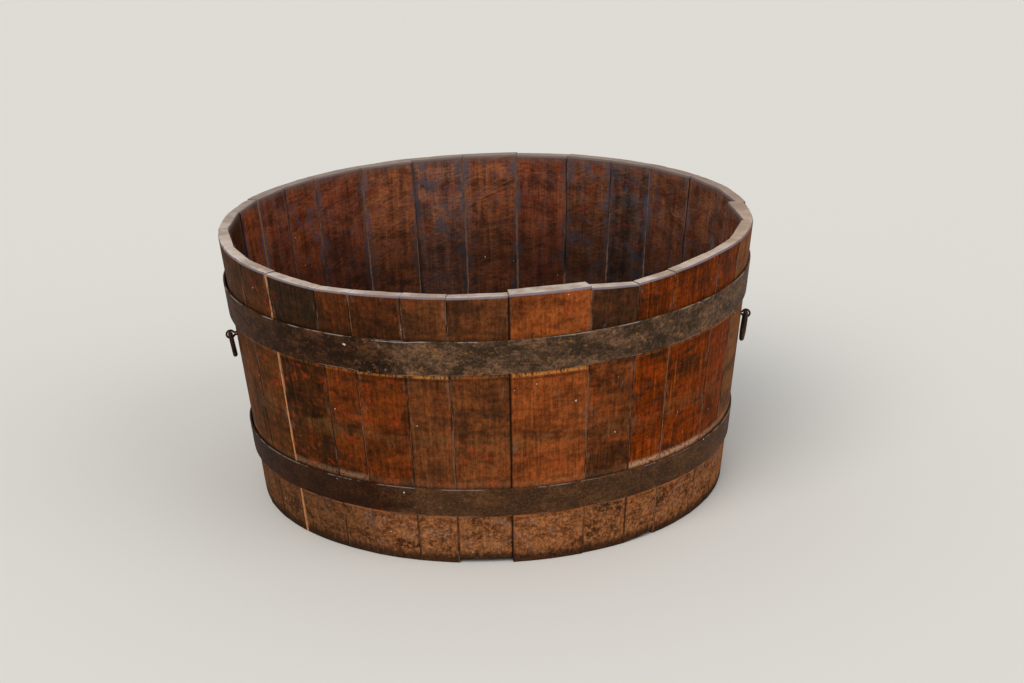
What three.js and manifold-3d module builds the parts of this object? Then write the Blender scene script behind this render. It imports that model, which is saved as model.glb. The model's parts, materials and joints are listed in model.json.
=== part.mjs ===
// A round tub coopered from flared staves, half a barrel's height, used as a planter.
// Two riveted iron hoops bind the staves, a boarded head sits in a groove near the foot,
// and an iron ring hangs from a split-pin eye on each side.
// Millimetres and degrees. +Z is up, the origin is the middle of the foot, and azimuth 0 is +X,
// counted anticlockwise from above, so the front of the tub is at 270.
import * as THREE from "three";
import { mergeVertices } from "three/addons/utils/BufferGeometryUtils.js";
import Module from "manifold-3d";

const wasm = await Module();
wasm.setup();

// ---------------------------------------------------------------- driving dimensions

const GAP = 0.3; // running clearance between pieces that touch
const CUT_THROUGH = 1; // how far a cutter passes the face it opens

// The wall: a cone that flares towards the rim.
const TUB_HEIGHT = 385;
const RIM_RADIUS = 381;
const FOOT_RADIUS = 338;
const RIM_TILT = 0.25; // the rim's plane is a little higher towards +X
const RIM_ARRIS = 2.2; // worn bevel round the outer edge of the rim
const STAVE_FACETS = 4; // flats across the rounded outer face of one stave
const STAVE_LEVELS = 3; // steps up its height, which keep a wedge-shaped stave's faces true

// Staves in order, anticlockwise from the seam at FIRST_SEAM. Each has its width at the rim, and
// where it differs from the plain stave, pairs for its first and last edge: thick, the wall at that
// edge; inset, how far its outer face lies inside the cone; rim and foot, its end above the level.
const FIRST_SEAM = 5.6;
const PLAIN_STAVE = { thick: [16, 16], inset: [0.8, 0.8], rim: [0, 0], foot: [0, 0], tone: "russet" };
const STAVES = [
  { width: 80, thick: [15, 16], rim: [-1, 0] },
  { width: 88, thick: [16, 15], tone: "umber" },
  { width: 92, inset: [1.5, 0.5] },
  { width: 77, thick: [15, 17], tone: "slate" },
  { width: 81, rim: [0, 1] },
  { width: 87, thick: [17, 16], inset: [0.5, 1.2] },
  { width: 90, thick: [16, 17], rim: [1, 0], tone: "umber" },
  { width: 88, thick: [16, 15] },
  { width: 91, thick: [22, 16], inset: [0.4, 1] },
  { width: 94, thick: [16, 17], tone: "umber" },
  { width: 70, inset: [1.5, 1] },
  { width: 79, thick: [17, 18], rim: [0, 1] },
  { width: 69, thick: [16, 16], tone: "umber" },
  { width: 93, thick: [15, 15], inset: [0.5, 1.5] },
  { width: 106, thick: [14, 15], inset: [2, 1.5], tone: "umber" },
  { width: 70, rim: [1, 0] },
  { width: 69, thick: [16, 17] },
  { width: 93, rim: [-1, -4], inset: [1, 1.5] },
  { width: 53, rim: [-4, -2], inset: [1.5, 1], tone: "umber" },
  { width: 73, rim: [-2, 0] },
  { width: 60, thick: [17, 16], tone: "umber" },
  { width: 80, inset: [1, 3], rim: [-0.5, 0], foot: [5.5, 5.5], tone: "umber" },
  { width: 108, thick: [23, 22], inset: [0, 0], rim: [2.5, 3], tone: "amber" },
  { width: 71, thick: [18, 16], inset: [1.5, 1], rim: [0, -7], tone: "slate" },
  { width: 60, rim: [-6, -3], foot: [0, 5], tone: "amber" },
  { width: 96, thick: [16, 15], rim: [-2, 1.5], tone: "amber" },
  { width: 67, thick: [15, 16], rim: [1, 0] },
  { width: 100, thick: [16, 17], inset: [0.5, 0] },
  { width: 106, thick: [14, 23], inset: [0, 5], tone: "umber" },
];

// The head: boards edge-joined on dowels, tapered at the rim into the staves' groove.
const HEAD_BOARDS = 5;
const HEAD_THICKNESS = 18;
const HEAD_EDGE = 5; // thickness left at the tapered edge
const HEAD_TAPER = 22; // how far the taper reaches in from the edge
const HEAD_MID_HEIGHT = 38;
const GROOVE_WALL = 10.5; // wood left outside the groove, from the cone
const CHIME_WALL = 11; // wall left at the foot below its 45-degree inner bevel
const DOWEL_DIAMETER = 10;
const DOWEL_LENGTH = 50;
const DOWEL_SPREAD = 300; // between the two dowels of one joint
const DRAIN_DIAMETER = 18;
const DRAIN_SPREAD = 110; // the drain holes step sideways by this from board to board
const DRAINED_BOARDS = 3;
const DRAIN_FACETS = 24;

// Hoops: flat strip bent round the cone, its ends lapped and riveted. Each sits a little out of
// level, highest at an azimuth of its own.
const HOOP_THICKNESS = 2.5;
const HOOP_FIT = 0.5; // from the cone to the corners of the hoop's facets
const HOOP_ARRIS = 0.7;
const HOOP_FACETS = 96;
const LAP_STEP = 4; // degrees in which the outer end comes down beside the inner end
const UPPER_HOOP = { height: 301, width: 47.5, tilt: 0.92, highest: 349, lapFrom: 242.2, lap: 11 };
const LOWER_HOOP = { height: 89.5, width: 40.5, tilt: 0.6, highest: 303, lapFrom: 96, lap: 11 };
// Rivets of a lap: degrees past its outer end, and height off the middle of the strip.
const LAP_RIVETS = [
  { along: 2.3, up: 1 },
  { along: 6.6, up: -7 },
];
const RIVET_SHANK = 5;
const RIVET_HEAD = 10;
const RIVET_HEAD_HEIGHT = 2;
const RIVET_FOOT = 8; // peened end, flush in a countersink on the inside
const RIVET_FOOT_HEIGHT = 1.6;
const RIVET_FACETS = 14;

// Ring handles: a split pin through the wall makes the eye, clinched over a rove inside.
const EYE_AZIMUTHS = { right: -7, left: 191 };
const EYE_BELOW_HOOP = 57.5; // from the middle of the upper hoop to the eye
const EYE_STANDOFF = 7; // from the cone to the middle of the eye
const EYE_OUTSIDE = 14;
const EYE_WIRE = 3;
const LEG_SPACING = 3.4; // between the middles of the pin's two legs
const LEG_BEND = 2.2; // bend radius where the legs leave the eye and where they are clinched
const CLINCH_REACH = 8.5; // from the pin's axis to the tips of the clinched legs
const ROVE_DIAMETER = 18;
const ROVE_THICKNESS = 1.5;
const ROVE_FACETS = 20;
const RING_OUTSIDE = { right: 44.5, left: 37 };
const RING_WIRE = 6.8;
const RING_LEAN = 9; // at rest the ring's lower edge leans in towards the wall

// ---------------------------------------------------------------- materials

const WOOD_TONES = { russet: 0x6b2f17, umber: 0x4c2616, amber: 0x8f4318, slate: 0x33211c };
const HEAD_WOOD = 0x5b3018;
const DOWEL_WOOD = 0xa8794c;
const HOOP_IRON = 0x3d3226;
const RIVET_IRON = 0x4a4038;
const RING_IRON = 0x2d2723;

const wood = (color) => new THREE.MeshStandardMaterial({ color, roughness: 0.55, metalness: 0 });
const iron = (color) => new THREE.MeshStandardMaterial({ color, roughness: 0.6, metalness: 0.7 });

// ---------------------------------------------------------------- helpers

const radians = THREE.MathUtils.degToRad;
const { lerp } = THREE.MathUtils;
const TAPER = Math.atan((RIM_RADIUS - FOOT_RADIUS) / TUB_HEIGHT);

// Radius of the cone that holds the staves' outer faces, at a height.
const coneRadius = (z) => lerp(FOOT_RADIUS, RIM_RADIUS, z / TUB_HEIGHT);

// A point at a radius, azimuth and height, moved sideways by `aside` along the tangent.
function polar(radius, azimuth, z, aside = 0) {
  const a = radians(azimuth);
  const x = radius * Math.cos(a) - aside * Math.sin(a);
  const y = radius * Math.sin(a) + aside * Math.cos(a);
  return new THREE.Vector3(x, y, z);
}

// A frame on the cone: X runs anticlockwise along the wall, Y up the slope and Z straight out.
function wallFrame(azimuth, z) {
  const a = radians(azimuth);
  const along = new THREE.Vector3(-Math.sin(a), Math.cos(a), 0);
  const out = new THREE.Vector3(Math.cos(a), Math.sin(a), -Math.tan(TAPER)).normalize();
  const up = new THREE.Vector3().crossVectors(out, along);
  const place = polar(coneRadius(z), azimuth, z);
  return new THREE.Matrix4().makeBasis(along, up, out).setPosition(place);
}

// A closed body through sections of equal count, each anticlockwise about the way they follow.
function loft(sections) {
  const corners = [];
  const triangle = (...points) => points.forEach((p) => corners.push(p.x, p.y, p.z));
  const first = sections[0];
  const last = sections.at(-1);
  for (let k = 1; k + 1 < first.length; k++) {
    triangle(first[0], first[k + 1], first[k]);
    triangle(last[0], last[k], last[k + 1]);
  }
  for (let i = 0; i + 1 < sections.length; i++) {
    const [a, b] = [sections[i], sections[i + 1]];
    for (let k = 0; k < a.length; k++) {
      const n = (k + 1) % a.length;
      triangle(a[k], a[n], b[n]);
      triangle(a[k], b[n], b[k]);
    }
  }
  const geometry = new THREE.BufferGeometry();
  geometry.setAttribute("position", new THREE.Float32BufferAttribute(corners, 3));
  geometry.computeVertexNormals();
  return geometry;
}

// A profile of [radius, height] pairs turned about Z.
function lathe(profile, facets) {
  const points = profile.map(([r, z]) => new THREE.Vector2(r, z));
  return new THREE.LatheGeometry(points, facets).rotateX(Math.PI / 2);
}

// A bar of radius r along Z, centred on the origin.
function bar(r, length, facets = 12) {
  const half = length / 2;
  return lathe([[0, -half], [r, -half], [r, half], [0, half]], facets);
}

function solidOf(geometry) {
  const bare = geometry.clone();
  bare.deleteAttribute("normal");
  bare.deleteAttribute("uv");
  const merged = mergeVertices(bare, 1e-4);
  const vertProperties = new Float32Array(merged.attributes.position.array);
  const triVerts = new Uint32Array(merged.index.array);
  return new wasm.Manifold(new wasm.Mesh({ numProp: 3, vertProperties, triVerts }));
}

function geometryOf(solid) {
  const { vertProperties, triVerts } = solid.getMesh();
  const indexed = new THREE.BufferGeometry();
  indexed.setAttribute("position", new THREE.BufferAttribute(vertProperties, 3));
  indexed.setIndex(new THREE.BufferAttribute(triVerts, 1));
  const geometry = indexed.toNonIndexed();
  geometry.computeVertexNormals();
  return geometry;
}

const cut = (geometry, cutters) =>
  geometryOf(cutters.reduce((solid, cutter) => solid.subtract(solidOf(cutter)), solidOf(geometry)));

const tub = new THREE.Group();

function add(name, geometry, material, parent = tub) {
  const mesh = new THREE.Mesh(geometry, material);
  mesh.name = name;
  parent.add(mesh);
  return mesh;
}

const numbered = (name, index) => `${name}_${String(index + 1).padStart(2, "0")}`;

// ---------------------------------------------------------------- staves

// Each stave with its defaults filled in and the azimuths of its two seams.
function laidOutStaves() {
  const around = STAVES.reduce((sum, stave) => sum + stave.width, 0);
  let seam = FIRST_SEAM;
  return STAVES.map((given) => {
    const from = seam;
    seam += (360 * given.width) / around;
    return { ...PLAIN_STAVE, ...given, from, to: seam };
  });
}

// The level of the rim at an azimuth, before a stave's own error of length.
const rimLevel = (azimuth) =>
  TUB_HEIGHT + Math.tan(radians(RIM_TILT)) * RIM_RADIUS * Math.cos(radians(azimuth));

// One end or level of a stave: a rounded outer face, a flat inner face and radial sides.
// heightAt gives the level from the azimuth and the share of the way across.
function staveSection(stave, heightAt, bevel = 0) {
  const { from, to, inset, thick } = stave;
  const point = (share, depth) => {
    const azimuth = lerp(from, to, share);
    const z = heightAt(azimuth, share);
    const radius = coneRadius(z) - lerp(...inset, share) - depth;
    return polar(radius, azimuth, z, GAP * (0.5 - share));
  };
  const outer = Array.from({ length: STAVE_FACETS + 1 }, (_, k) => point(k / STAVE_FACETS, bevel));
  return [...outer, point(1, thick[1]), point(0, thick[0])];
}

function staveBody(stave) {
  const foot = (_, share) => lerp(...stave.foot, share);
  const rim = (azimuth, share) => rimLevel(azimuth) + lerp(...stave.rim, share);
  const belowArris = (azimuth, share) => rim(azimuth, share) - RIM_ARRIS;
  const levels = Array.from({ length: STAVE_LEVELS + 1 }, (_, k) => {
    const between = (...at) => lerp(foot(...at), belowArris(...at), k / STAVE_LEVELS);
    return staveSection(stave, between);
  });
  return loft([...levels, staveSection(stave, rim, RIM_ARRIS / 2)]);
}

// The two edges of a stave's flat inner face at a height, first and last.
function innerEdges(stave, z) {
  const radii = stave.thick.map((thick, k) => coneRadius(z) - stave.inset[k] - thick);
  return [polar(radii[0], stave.from, z), polar(radii[1], stave.to, z)];
}

// The radius of that face on the line through the tub's axis at an azimuth.
function innerRadius(stave, z, azimuth) {
  const [first, last] = innerEdges(stave, z);
  const chord = last.sub(first);
  const ray = polar(1, azimuth, 0);
  return (first.x * chord.y - first.y * chord.x) / (ray.x * chord.y - ray.y * chord.x);
}

// How far that face is turned outwards from the wall's tangent at an azimuth, in radians.
function innerTurn(stave, z, azimuth) {
  const [first, last] = innerEdges(stave, z);
  const chord = last.sub(first);
  return Math.atan2(chord.dot(polar(1, azimuth, 0)), chord.dot(polar(1, azimuth + 90, 0)));
}

// ---------------------------------------------------------------- head and its groove

const GROOVE_RADIUS = coneRadius(HEAD_MID_HEIGHT) - GROOVE_WALL;
const HEAD_RADIUS = GROOVE_RADIUS - GAP;
const HEAD_FACETS = 96;

// Half the outline of the head in section, tapered to its edge and grown by a clearance.
function headProfile(inside, clearance) {
  const face = HEAD_THICKNESS / 2 + clearance;
  const edge = HEAD_EDGE / 2 + clearance;
  const radius = HEAD_RADIUS + clearance;
  const shoulder = radius - HEAD_TAPER;
  const below = [[inside, -face], [shoulder, -face], [radius, -edge]];
  return [...below, [radius, edge], [shoulder, face], [inside, face]];
}

const closed = (profile) => [...profile, profile[0]];
const INSIDE_OF_STAVES = HEAD_RADIUS - 2 * HEAD_TAPER;

// What the cooper's croze takes out of the staves for the head, and the bevel inside the foot.
function grooveCutter() {
  return lathe(closed(headProfile(INSIDE_OF_STAVES, GAP)), HEAD_FACETS).translate(0, 0, HEAD_MID_HEIGHT);
}

function chimeCutter() {
  const below = [FOOT_RADIUS - CHIME_WALL + CUT_THROUGH, -CUT_THROUGH];
  const rise = below[0] - INSIDE_OF_STAVES;
  const triangle = [[INSIDE_OF_STAVES, -CUT_THROUGH], below, [INSIDE_OF_STAVES, rise - CUT_THROUGH]];
  return lathe(closed(triangle), HEAD_FACETS);
}

function headBoards() {
  const disc = solidOf(lathe(headProfile(0, 0), HEAD_FACETS));
  const pitch = (2 * HEAD_RADIUS) / HEAD_BOARDS;
  const hole = bar(DOWEL_DIAMETER / 2 + GAP, DOWEL_LENGTH + 2 * GAP).rotateX(Math.PI / 2);
  const drain = bar(DRAIN_DIAMETER / 2, HEAD_THICKNESS + 2 * CUT_THROUGH, DRAIN_FACETS);
  const middle = (HEAD_BOARDS - 1) / 2;
  for (let i = 0; i < HEAD_BOARDS; i++) {
    const y = (i - middle) * pitch;
    const slab = new THREE.BoxGeometry(2 * RIM_RADIUS, pitch - GAP, 2 * HEAD_THICKNESS).translate(0, y, 0);
    const cutters = [];
    for (const joint of [i - 1, i].filter((j) => j >= 0 && j < HEAD_BOARDS - 1)) {
      for (const side of [-1, 1]) {
        cutters.push(hole.clone().translate((side * DOWEL_SPREAD) / 2, (joint + 0.5 - middle) * pitch, 0));
      }
    }
    if (Math.abs(i - middle) < DRAINED_BOARDS / 2) {
      cutters.push(drain.clone().translate((i - middle) * DRAIN_SPREAD, y, 0));
    }
    const board = geometryOf(disc.intersect(solidOf(slab)));
    add(numbered("head_board", i), cut(board, cutters), wood(HEAD_WOOD)).position.z = HEAD_MID_HEIGHT;
  }
  const dowel = bar(DOWEL_DIAMETER / 2, DOWEL_LENGTH).rotateX(Math.PI / 2);
  for (let joint = 0; joint < HEAD_BOARDS - 1; joint++) {
    for (const [side, where] of [[-1, "a"], [1, "b"]]) {
      const mesh = add(`${numbered("dowel", joint)}${where}`, dowel, wood(DOWEL_WOOD));
      mesh.position.set((side * DOWEL_SPREAD) / 2, (joint + 0.5 - middle) * pitch, HEAD_MID_HEIGHT);
    }
  }
}

// ---------------------------------------------------------------- hoops and their rivets

// The height of a tilted hoop's middle at an azimuth.
const hoopHeight = (hoop, azimuth) =>
  hoop.height +
  Math.tan(radians(hoop.tilt)) * coneRadius(hoop.height) * Math.cos(radians(azimuth - hoop.highest));

// How far the strip lies off the cone, by the degrees along it from its outer end.
function stripOffset(hoop, along) {
  const stepped = THREE.MathUtils.smoothstep(along, hoop.lap, hoop.lap + LAP_STEP);
  return HOOP_FIT + (HOOP_THICKNESS + GAP) * (1 - stepped);
}

function hoopStrip(hoop) {
  const half = hoop.width / 2;
  const outline = [
    [-half, 0],
    [half, 0],
    [half, HOOP_THICKNESS - HOOP_ARRIS],
    [half - HOOP_ARRIS, HOOP_THICKNESS],
    [HOOP_ARRIS - half, HOOP_THICKNESS],
    [-half, HOOP_THICKNESS - HOOP_ARRIS],
  ];
  const sweep = 360 + hoop.lap;
  const sections = [];
  for (let i = 0; i <= HOOP_FACETS; i++) {
    const along = (sweep * i) / HOOP_FACETS;
    const azimuth = hoop.lapFrom + along;
    const frame = wallFrame(azimuth, hoopHeight(hoop, azimuth));
    const offset = stripOffset(hoop, along);
    sections.push(outline.map(([up, out]) => new THREE.Vector3(0, up, offset + out).applyMatrix4(frame)));
  }
  return loft(sections);
}

// A rivet through both layers, from its peened foot on the inside to its low domed head.
function rivetProfile(clearance) {
  const foot = HOOP_FIT;
  const seat = HOOP_FIT + 2 * HOOP_THICKNESS + 2 * GAP;
  const shank = RIVET_SHANK / 2 + clearance;
  return {
    body: [[0, foot], [RIVET_FOOT / 2 + clearance, foot], [shank, foot + RIVET_FOOT_HEIGHT + clearance]],
    shank,
    seat,
  };
}

function rivet() {
  const { body, shank, seat } = rivetProfile(0);
  const r = RIVET_HEAD / 2;
  const dome = [0, 27, 54, 90].map(radians).map((a) => [
    r * Math.cos(a),
    seat + RIVET_HEAD_HEIGHT * Math.sin(a),
  ]);
  return lathe([...body, [shank, seat], ...dome], RIVET_FACETS);
}

function rivetHole() {
  const { body, shank, seat } = rivetProfile(GAP);
  const [[, foot], [mouth]] = body;
  const below = foot - CUT_THROUGH;
  const top = seat + CUT_THROUGH;
  return lathe([[0, below], [mouth, below], ...body.slice(1), [shank, top], [0, top]], RIVET_FACETS);
}

function addHoop(name, hoop) {
  const frames = LAP_RIVETS.map(({ along, up }) => {
    const azimuth = hoop.lapFrom + along;
    return wallFrame(azimuth, hoopHeight(hoop, azimuth) + up);
  });
  const holes = frames.map((frame) => rivetHole().applyMatrix4(frame));
  add(`${name}_hoop`, cut(hoopStrip(hoop), holes), iron(HOOP_IRON));
  frames.forEach((frame, i) => {
    add(numbered(`${name}_hoop_rivet`, i), rivet(), iron(RIVET_IRON)).applyMatrix4(frame);
  });
}

// ---------------------------------------------------------------- ring handles

// An arc in the plane of Y and Z, about a centre, from one angle to another measured from +Z.
class SideArc extends THREE.Curve {
  constructor(centre, radius, from, to) {
    super();
    Object.assign(this, { centre, radius, from, to });
  }

  getPoint(t, target = new THREE.Vector3()) {
    const angle = lerp(this.from, this.to, t);
    const [y, z] = this.centre;
    return target.set(0, y + this.radius * Math.sin(angle), z + this.radius * Math.cos(angle));
  }
}

const line = (from, to) => new THREE.LineCurve3(new THREE.Vector3(0, ...from), new THREE.Vector3(0, ...to));

// The middle of the split pin's wire: clinched tip, leg, eye, leg and clinched tip.
// Y is up the wall and Z out of it; clinch is the depth at which the tips lie inside.
function pinPath(clinch) {
  const eye = (EYE_OUTSIDE - EYE_WIRE) / 2;
  const leg = LEG_SPACING / 2;
  const bendUp = leg + LEG_BEND;
  const neck = Math.sqrt((eye + LEG_BEND) ** 2 - bendUp ** 2);
  const neckAt = EYE_STANDOFF - neck;
  const meet = Math.atan2(bendUp, neck);
  const quarter = Math.PI / 2;
  const bendAt = clinch + LEG_BEND;
  const path = new THREE.CurvePath();
  path.add(line([CLINCH_REACH, clinch], [bendUp, clinch]));
  path.add(new SideArc([bendUp, bendAt], LEG_BEND, -2 * quarter, -quarter));
  path.add(line([leg, bendAt], [leg, neckAt]));
  path.add(new SideArc([bendUp, neckAt], LEG_BEND, -quarter, -meet));
  path.add(new SideArc([0, EYE_STANDOFF], eye, 2 * quarter - meet, meet - 2 * quarter));
  path.add(new SideArc([-bendUp, neckAt], LEG_BEND, meet, quarter));
  path.add(line([-leg, neckAt], [-leg, bendAt]));
  path.add(new SideArc([-bendUp, bendAt], LEG_BEND, quarter, 2 * quarter));
  path.add(line([-bendUp, clinch], [-CLINCH_REACH, clinch]));
  return path;
}

function splitPin(clinch) {
  const section = new THREE.Shape().absarc(0, 0, EYE_WIRE / 2, 0, 2 * Math.PI);
  const path = pinPath(clinch);
  return new THREE.ExtrudeGeometry(section, { steps: 52, curveSegments: 4, extrudePath: path });
}

const EYE_HEIGHT = UPPER_HOOP.height - EYE_BELOW_HOOP;
const PIN_HOLE = (LEG_SPACING + EYE_WIRE) / 2 + GAP;

// Bored through the stave's whole wall, and past it by the same again.
function pinHole(azimuth, stave) {
  const wall = Math.max(...stave.thick) + Math.max(...stave.inset);
  return bar(PIN_HOLE, 2 * (2 * wall)).applyMatrix4(wallFrame(azimuth, EYE_HEIGHT));
}

// A round plate with a hole, lying on the stave's flat inner face.
function rove() {
  const [hole, edge] = [PIN_HOLE + GAP, ROVE_DIAMETER / 2];
  return lathe(closed([[hole, 0], [edge, 0], [edge, ROVE_THICKNESS], [hole, ROVE_THICKNESS]]), ROVE_FACETS);
}

function addRingHandle(side, azimuth, stave) {
  const frame = wallFrame(azimuth, EYE_HEIGHT);
  const depth = (coneRadius(EYE_HEIGHT) - innerRadius(stave, EYE_HEIGHT, azimuth)) * Math.cos(TAPER);
  const roveFace = depth + GAP + ROVE_THICKNESS;
  const clinch = -(roveFace + GAP + EYE_WIRE / 2);
  add(`eye_${side}`, splitPin(clinch), iron(RING_IRON)).applyMatrix4(frame);

  // The inner face is turned where the eye is off the stave's middle or the stave is wedge-shaped.
  const turn = innerTurn(stave, EYE_HEIGHT, azimuth);
  const seat = new THREE.Matrix4().makeRotationY(-turn).setPosition(0, 0, -roveFace);
  add(`eye_rove_${side}`, rove(), iron(RIVET_IRON)).applyMatrix4(frame.clone().multiply(seat));

  // The ring hangs from the eye with a clearance between its wire and the eye's.
  const swing = (RING_OUTSIDE[side] - RING_WIRE) / 2;
  const rest = (EYE_OUTSIDE - 2 * EYE_WIRE - RING_WIRE) / 2 - GAP;
  const hanger = new THREE.Group();
  hanger.position.set(0, 0, EYE_STANDOFF).applyMatrix4(frame);
  hanger.position.z -= rest;
  hanger.rotation.set(Math.PI / 2, radians(azimuth) + Math.PI / 2, 0, "ZXY");
  const leaning = new THREE.Group();
  leaning.rotation.x = radians(RING_LEAN);
  hanger.add(leaning);
  tub.add(hanger);
  const ring = new THREE.TorusGeometry(swing, RING_WIRE / 2, 10, 36);
  add(`ring_${side}`, ring, iron(RING_IRON), leaning).position.y = -swing;
}

// ---------------------------------------------------------------- assembly

const staves = laidOutStaves();
const holds = (stave, azimuth) => (((azimuth - stave.from) % 360) + 360) % 360 < stave.to - stave.from;

staves.forEach((stave, i) => {
  const cutters = [grooveCutter(), chimeCutter()];
  for (const azimuth of Object.values(EYE_AZIMUTHS)) {
    if (holds(stave, azimuth)) cutters.push(pinHole(azimuth, stave));
  }
  add(numbered("stave", i), cut(staveBody(stave), cutters), wood(WOOD_TONES[stave.tone]));
});

headBoards();
addHoop("upper", UPPER_HOOP);
addHoop("lower", LOWER_HOOP);
for (const [side, azimuth] of Object.entries(EYE_AZIMUTHS)) {
  addRingHandle(side, azimuth, staves.find((stave) => holds(stave, azimuth)));
}

export default tub;
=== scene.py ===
"""An old wooden barrel planter, coopered from flared staves and bound by two riveted iron hoops.

Lengths are metres. Z is up, the origin is the middle of the foot and azimuth 0 is +X, counted
anticlockwise from above in degrees, so the front of the tub is at azimuth 270.
"""

import json
import logging
from dataclasses import dataclass, replace
from enum import Enum
from functools import partial, reduce

import bmesh
import bpy
import numpy as np
from mathutils import Matrix

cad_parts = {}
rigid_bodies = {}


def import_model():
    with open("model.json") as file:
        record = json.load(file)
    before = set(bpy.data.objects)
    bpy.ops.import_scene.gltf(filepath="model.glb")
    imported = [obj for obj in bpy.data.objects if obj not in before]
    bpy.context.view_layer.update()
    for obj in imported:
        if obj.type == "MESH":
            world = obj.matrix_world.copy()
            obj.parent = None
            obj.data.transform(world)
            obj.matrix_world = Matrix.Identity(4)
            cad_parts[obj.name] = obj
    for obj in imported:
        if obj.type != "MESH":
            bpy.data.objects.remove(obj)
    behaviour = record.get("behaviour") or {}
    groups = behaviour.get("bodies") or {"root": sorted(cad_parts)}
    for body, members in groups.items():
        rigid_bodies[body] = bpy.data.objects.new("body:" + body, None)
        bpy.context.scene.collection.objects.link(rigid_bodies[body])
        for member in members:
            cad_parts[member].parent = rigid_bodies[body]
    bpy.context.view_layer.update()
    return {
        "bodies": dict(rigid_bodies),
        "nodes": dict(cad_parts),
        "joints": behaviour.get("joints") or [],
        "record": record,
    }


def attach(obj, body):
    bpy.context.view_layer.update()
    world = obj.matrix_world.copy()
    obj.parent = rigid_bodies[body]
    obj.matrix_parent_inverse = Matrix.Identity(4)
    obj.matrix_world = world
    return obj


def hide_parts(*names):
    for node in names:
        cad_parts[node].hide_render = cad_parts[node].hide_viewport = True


Array = np.ndarray
Colour = tuple[float, float, float, float]
Socket = bpy.types.NodeSocket

MM = 0.001
CLEARANCE = 0.3 * MM
MERGE = 0.002 * MM
HEAD_RADIUS = 331.44 * MM

log = logging.getLogger("barrel planter")


def seen(code: str) -> Colour:
    """Gives the linear colour of a hex code such as "8a4a1c", written as it is seen on a screen."""
    screen = np.array([int(code[i : i + 2], 16) for i in (0, 2, 4)]) / 255
    linear = np.where(screen <= 0.04045, screen / 12.92, ((screen + 0.055) / 1.055) ** 2.4)
    return (*(float(part) for part in linear), 1.0)


def blend(low: Array | float, high: Array | float, share: Array | float) -> Array | float:
    """Goes in a straight line from low to high as share goes from 0 to 1."""
    return low + (high - low) * share


def smooth(value: Array) -> Array:
    """Eases a value clipped to 0 to 1, as three times its square less twice its cube."""
    t = np.clip(value, 0, 1)
    return t * t * (3 - 2 * t)


def ripple(seed: int, *places: Array) -> Array:
    """A smooth wandering value from -1 to 1, made of five waves with seeded lengths and phases.

    Args:
        seed: picks the waves.
        *places: coordinates of one shape, each already scaled so that 1 is a typical wave.

    Returns:
        The mean of the waves at each place.
    """
    rng = np.random.default_rng(seed)
    total = np.zeros(np.broadcast_shapes(*(p.shape for p in places)))
    for _ in range(5):
        pitch = rng.uniform(2, 8, len(places)) * rng.choice([-1, 1], len(places))
        total = total + np.sin(sum(k * p for k, p in zip(pitch, places)) + rng.uniform(0, 6.28))
    return total / 5


def steps(length: float, pitch: float, close: tuple[float, ...]) -> Array:
    """Places along a length, as shares of it: close ones at both ends and a pitch apart between.

    Args:
        length: the length that is divided.
        pitch: the wanted distance between the places in the middle.
        close: distances from each end at which there is always a place, the first one 0.

    Returns:
        Rising shares from 0 to 1.
    """
    last = close[-1]
    count = max(2, round((length - 2 * last) / pitch))
    middle = np.linspace(last, length - last, count + 1)
    near = np.array(close[:-1])
    return np.concatenate([near, middle, length - near[::-1]]) / length


# ------------------------------------------------------------------------------------ meshes


@dataclass
class Sheet:
    """A grid of points, rows by columns, and what its faces carry.

    grain is metres across and along the grain; edge is the distance to the nearest seam or edge
    and a weight of what fills it; ends is the distance below the upper end and above the lower.
    slot is the finish's place on the piece; deep, warm and traits are the two tones of a stave's
    face, its share of the warm one and how much of its other marks it bears.
    """

    points: Array
    grain: Array
    edge: Array
    ends: Array
    slot: int = 0
    deep: Colour = (0.1, 0.1, 0.1, 1.0)
    warm: Colour = (0.2, 0.2, 0.2, 1.0)
    traits: tuple[float, float, float] = (0.0, 0.0, 0.0)

    def faces(self) -> Array:
        """Gives the four corners of each face, as places in the flattened grid."""
        rows, columns = self.points.shape[:2]
        first = (np.arange(rows - 1)[:, None] * columns + np.arange(columns - 1)).reshape(-1, 1)
        return first + np.array([0, 1, columns + 1, columns])


def plain_sheet(points: Array) -> Sheet:
    """Makes a sheet whose grain runs with its own distances: across the columns, along the rows.

    Args:
        points: rows by columns by 3.

    Returns:
        The sheet, with its grain measured along its middle row and its middle column.
    """
    rows, columns = points.shape[:2]
    along = np.linalg.norm(np.diff(points[:, columns // 2], axis=0), axis=1)
    across = np.linalg.norm(np.diff(points[rows // 2], axis=0), axis=1)
    v = np.concatenate([[0], np.cumsum(along)])[:, None] + np.zeros((1, columns))
    u = np.concatenate([[0], np.cumsum(across)])[None] + np.zeros((rows, 1))
    grain = np.stack([u, v], -1)
    return Sheet(points, grain, np.zeros_like(grain), np.zeros_like(grain))


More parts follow.
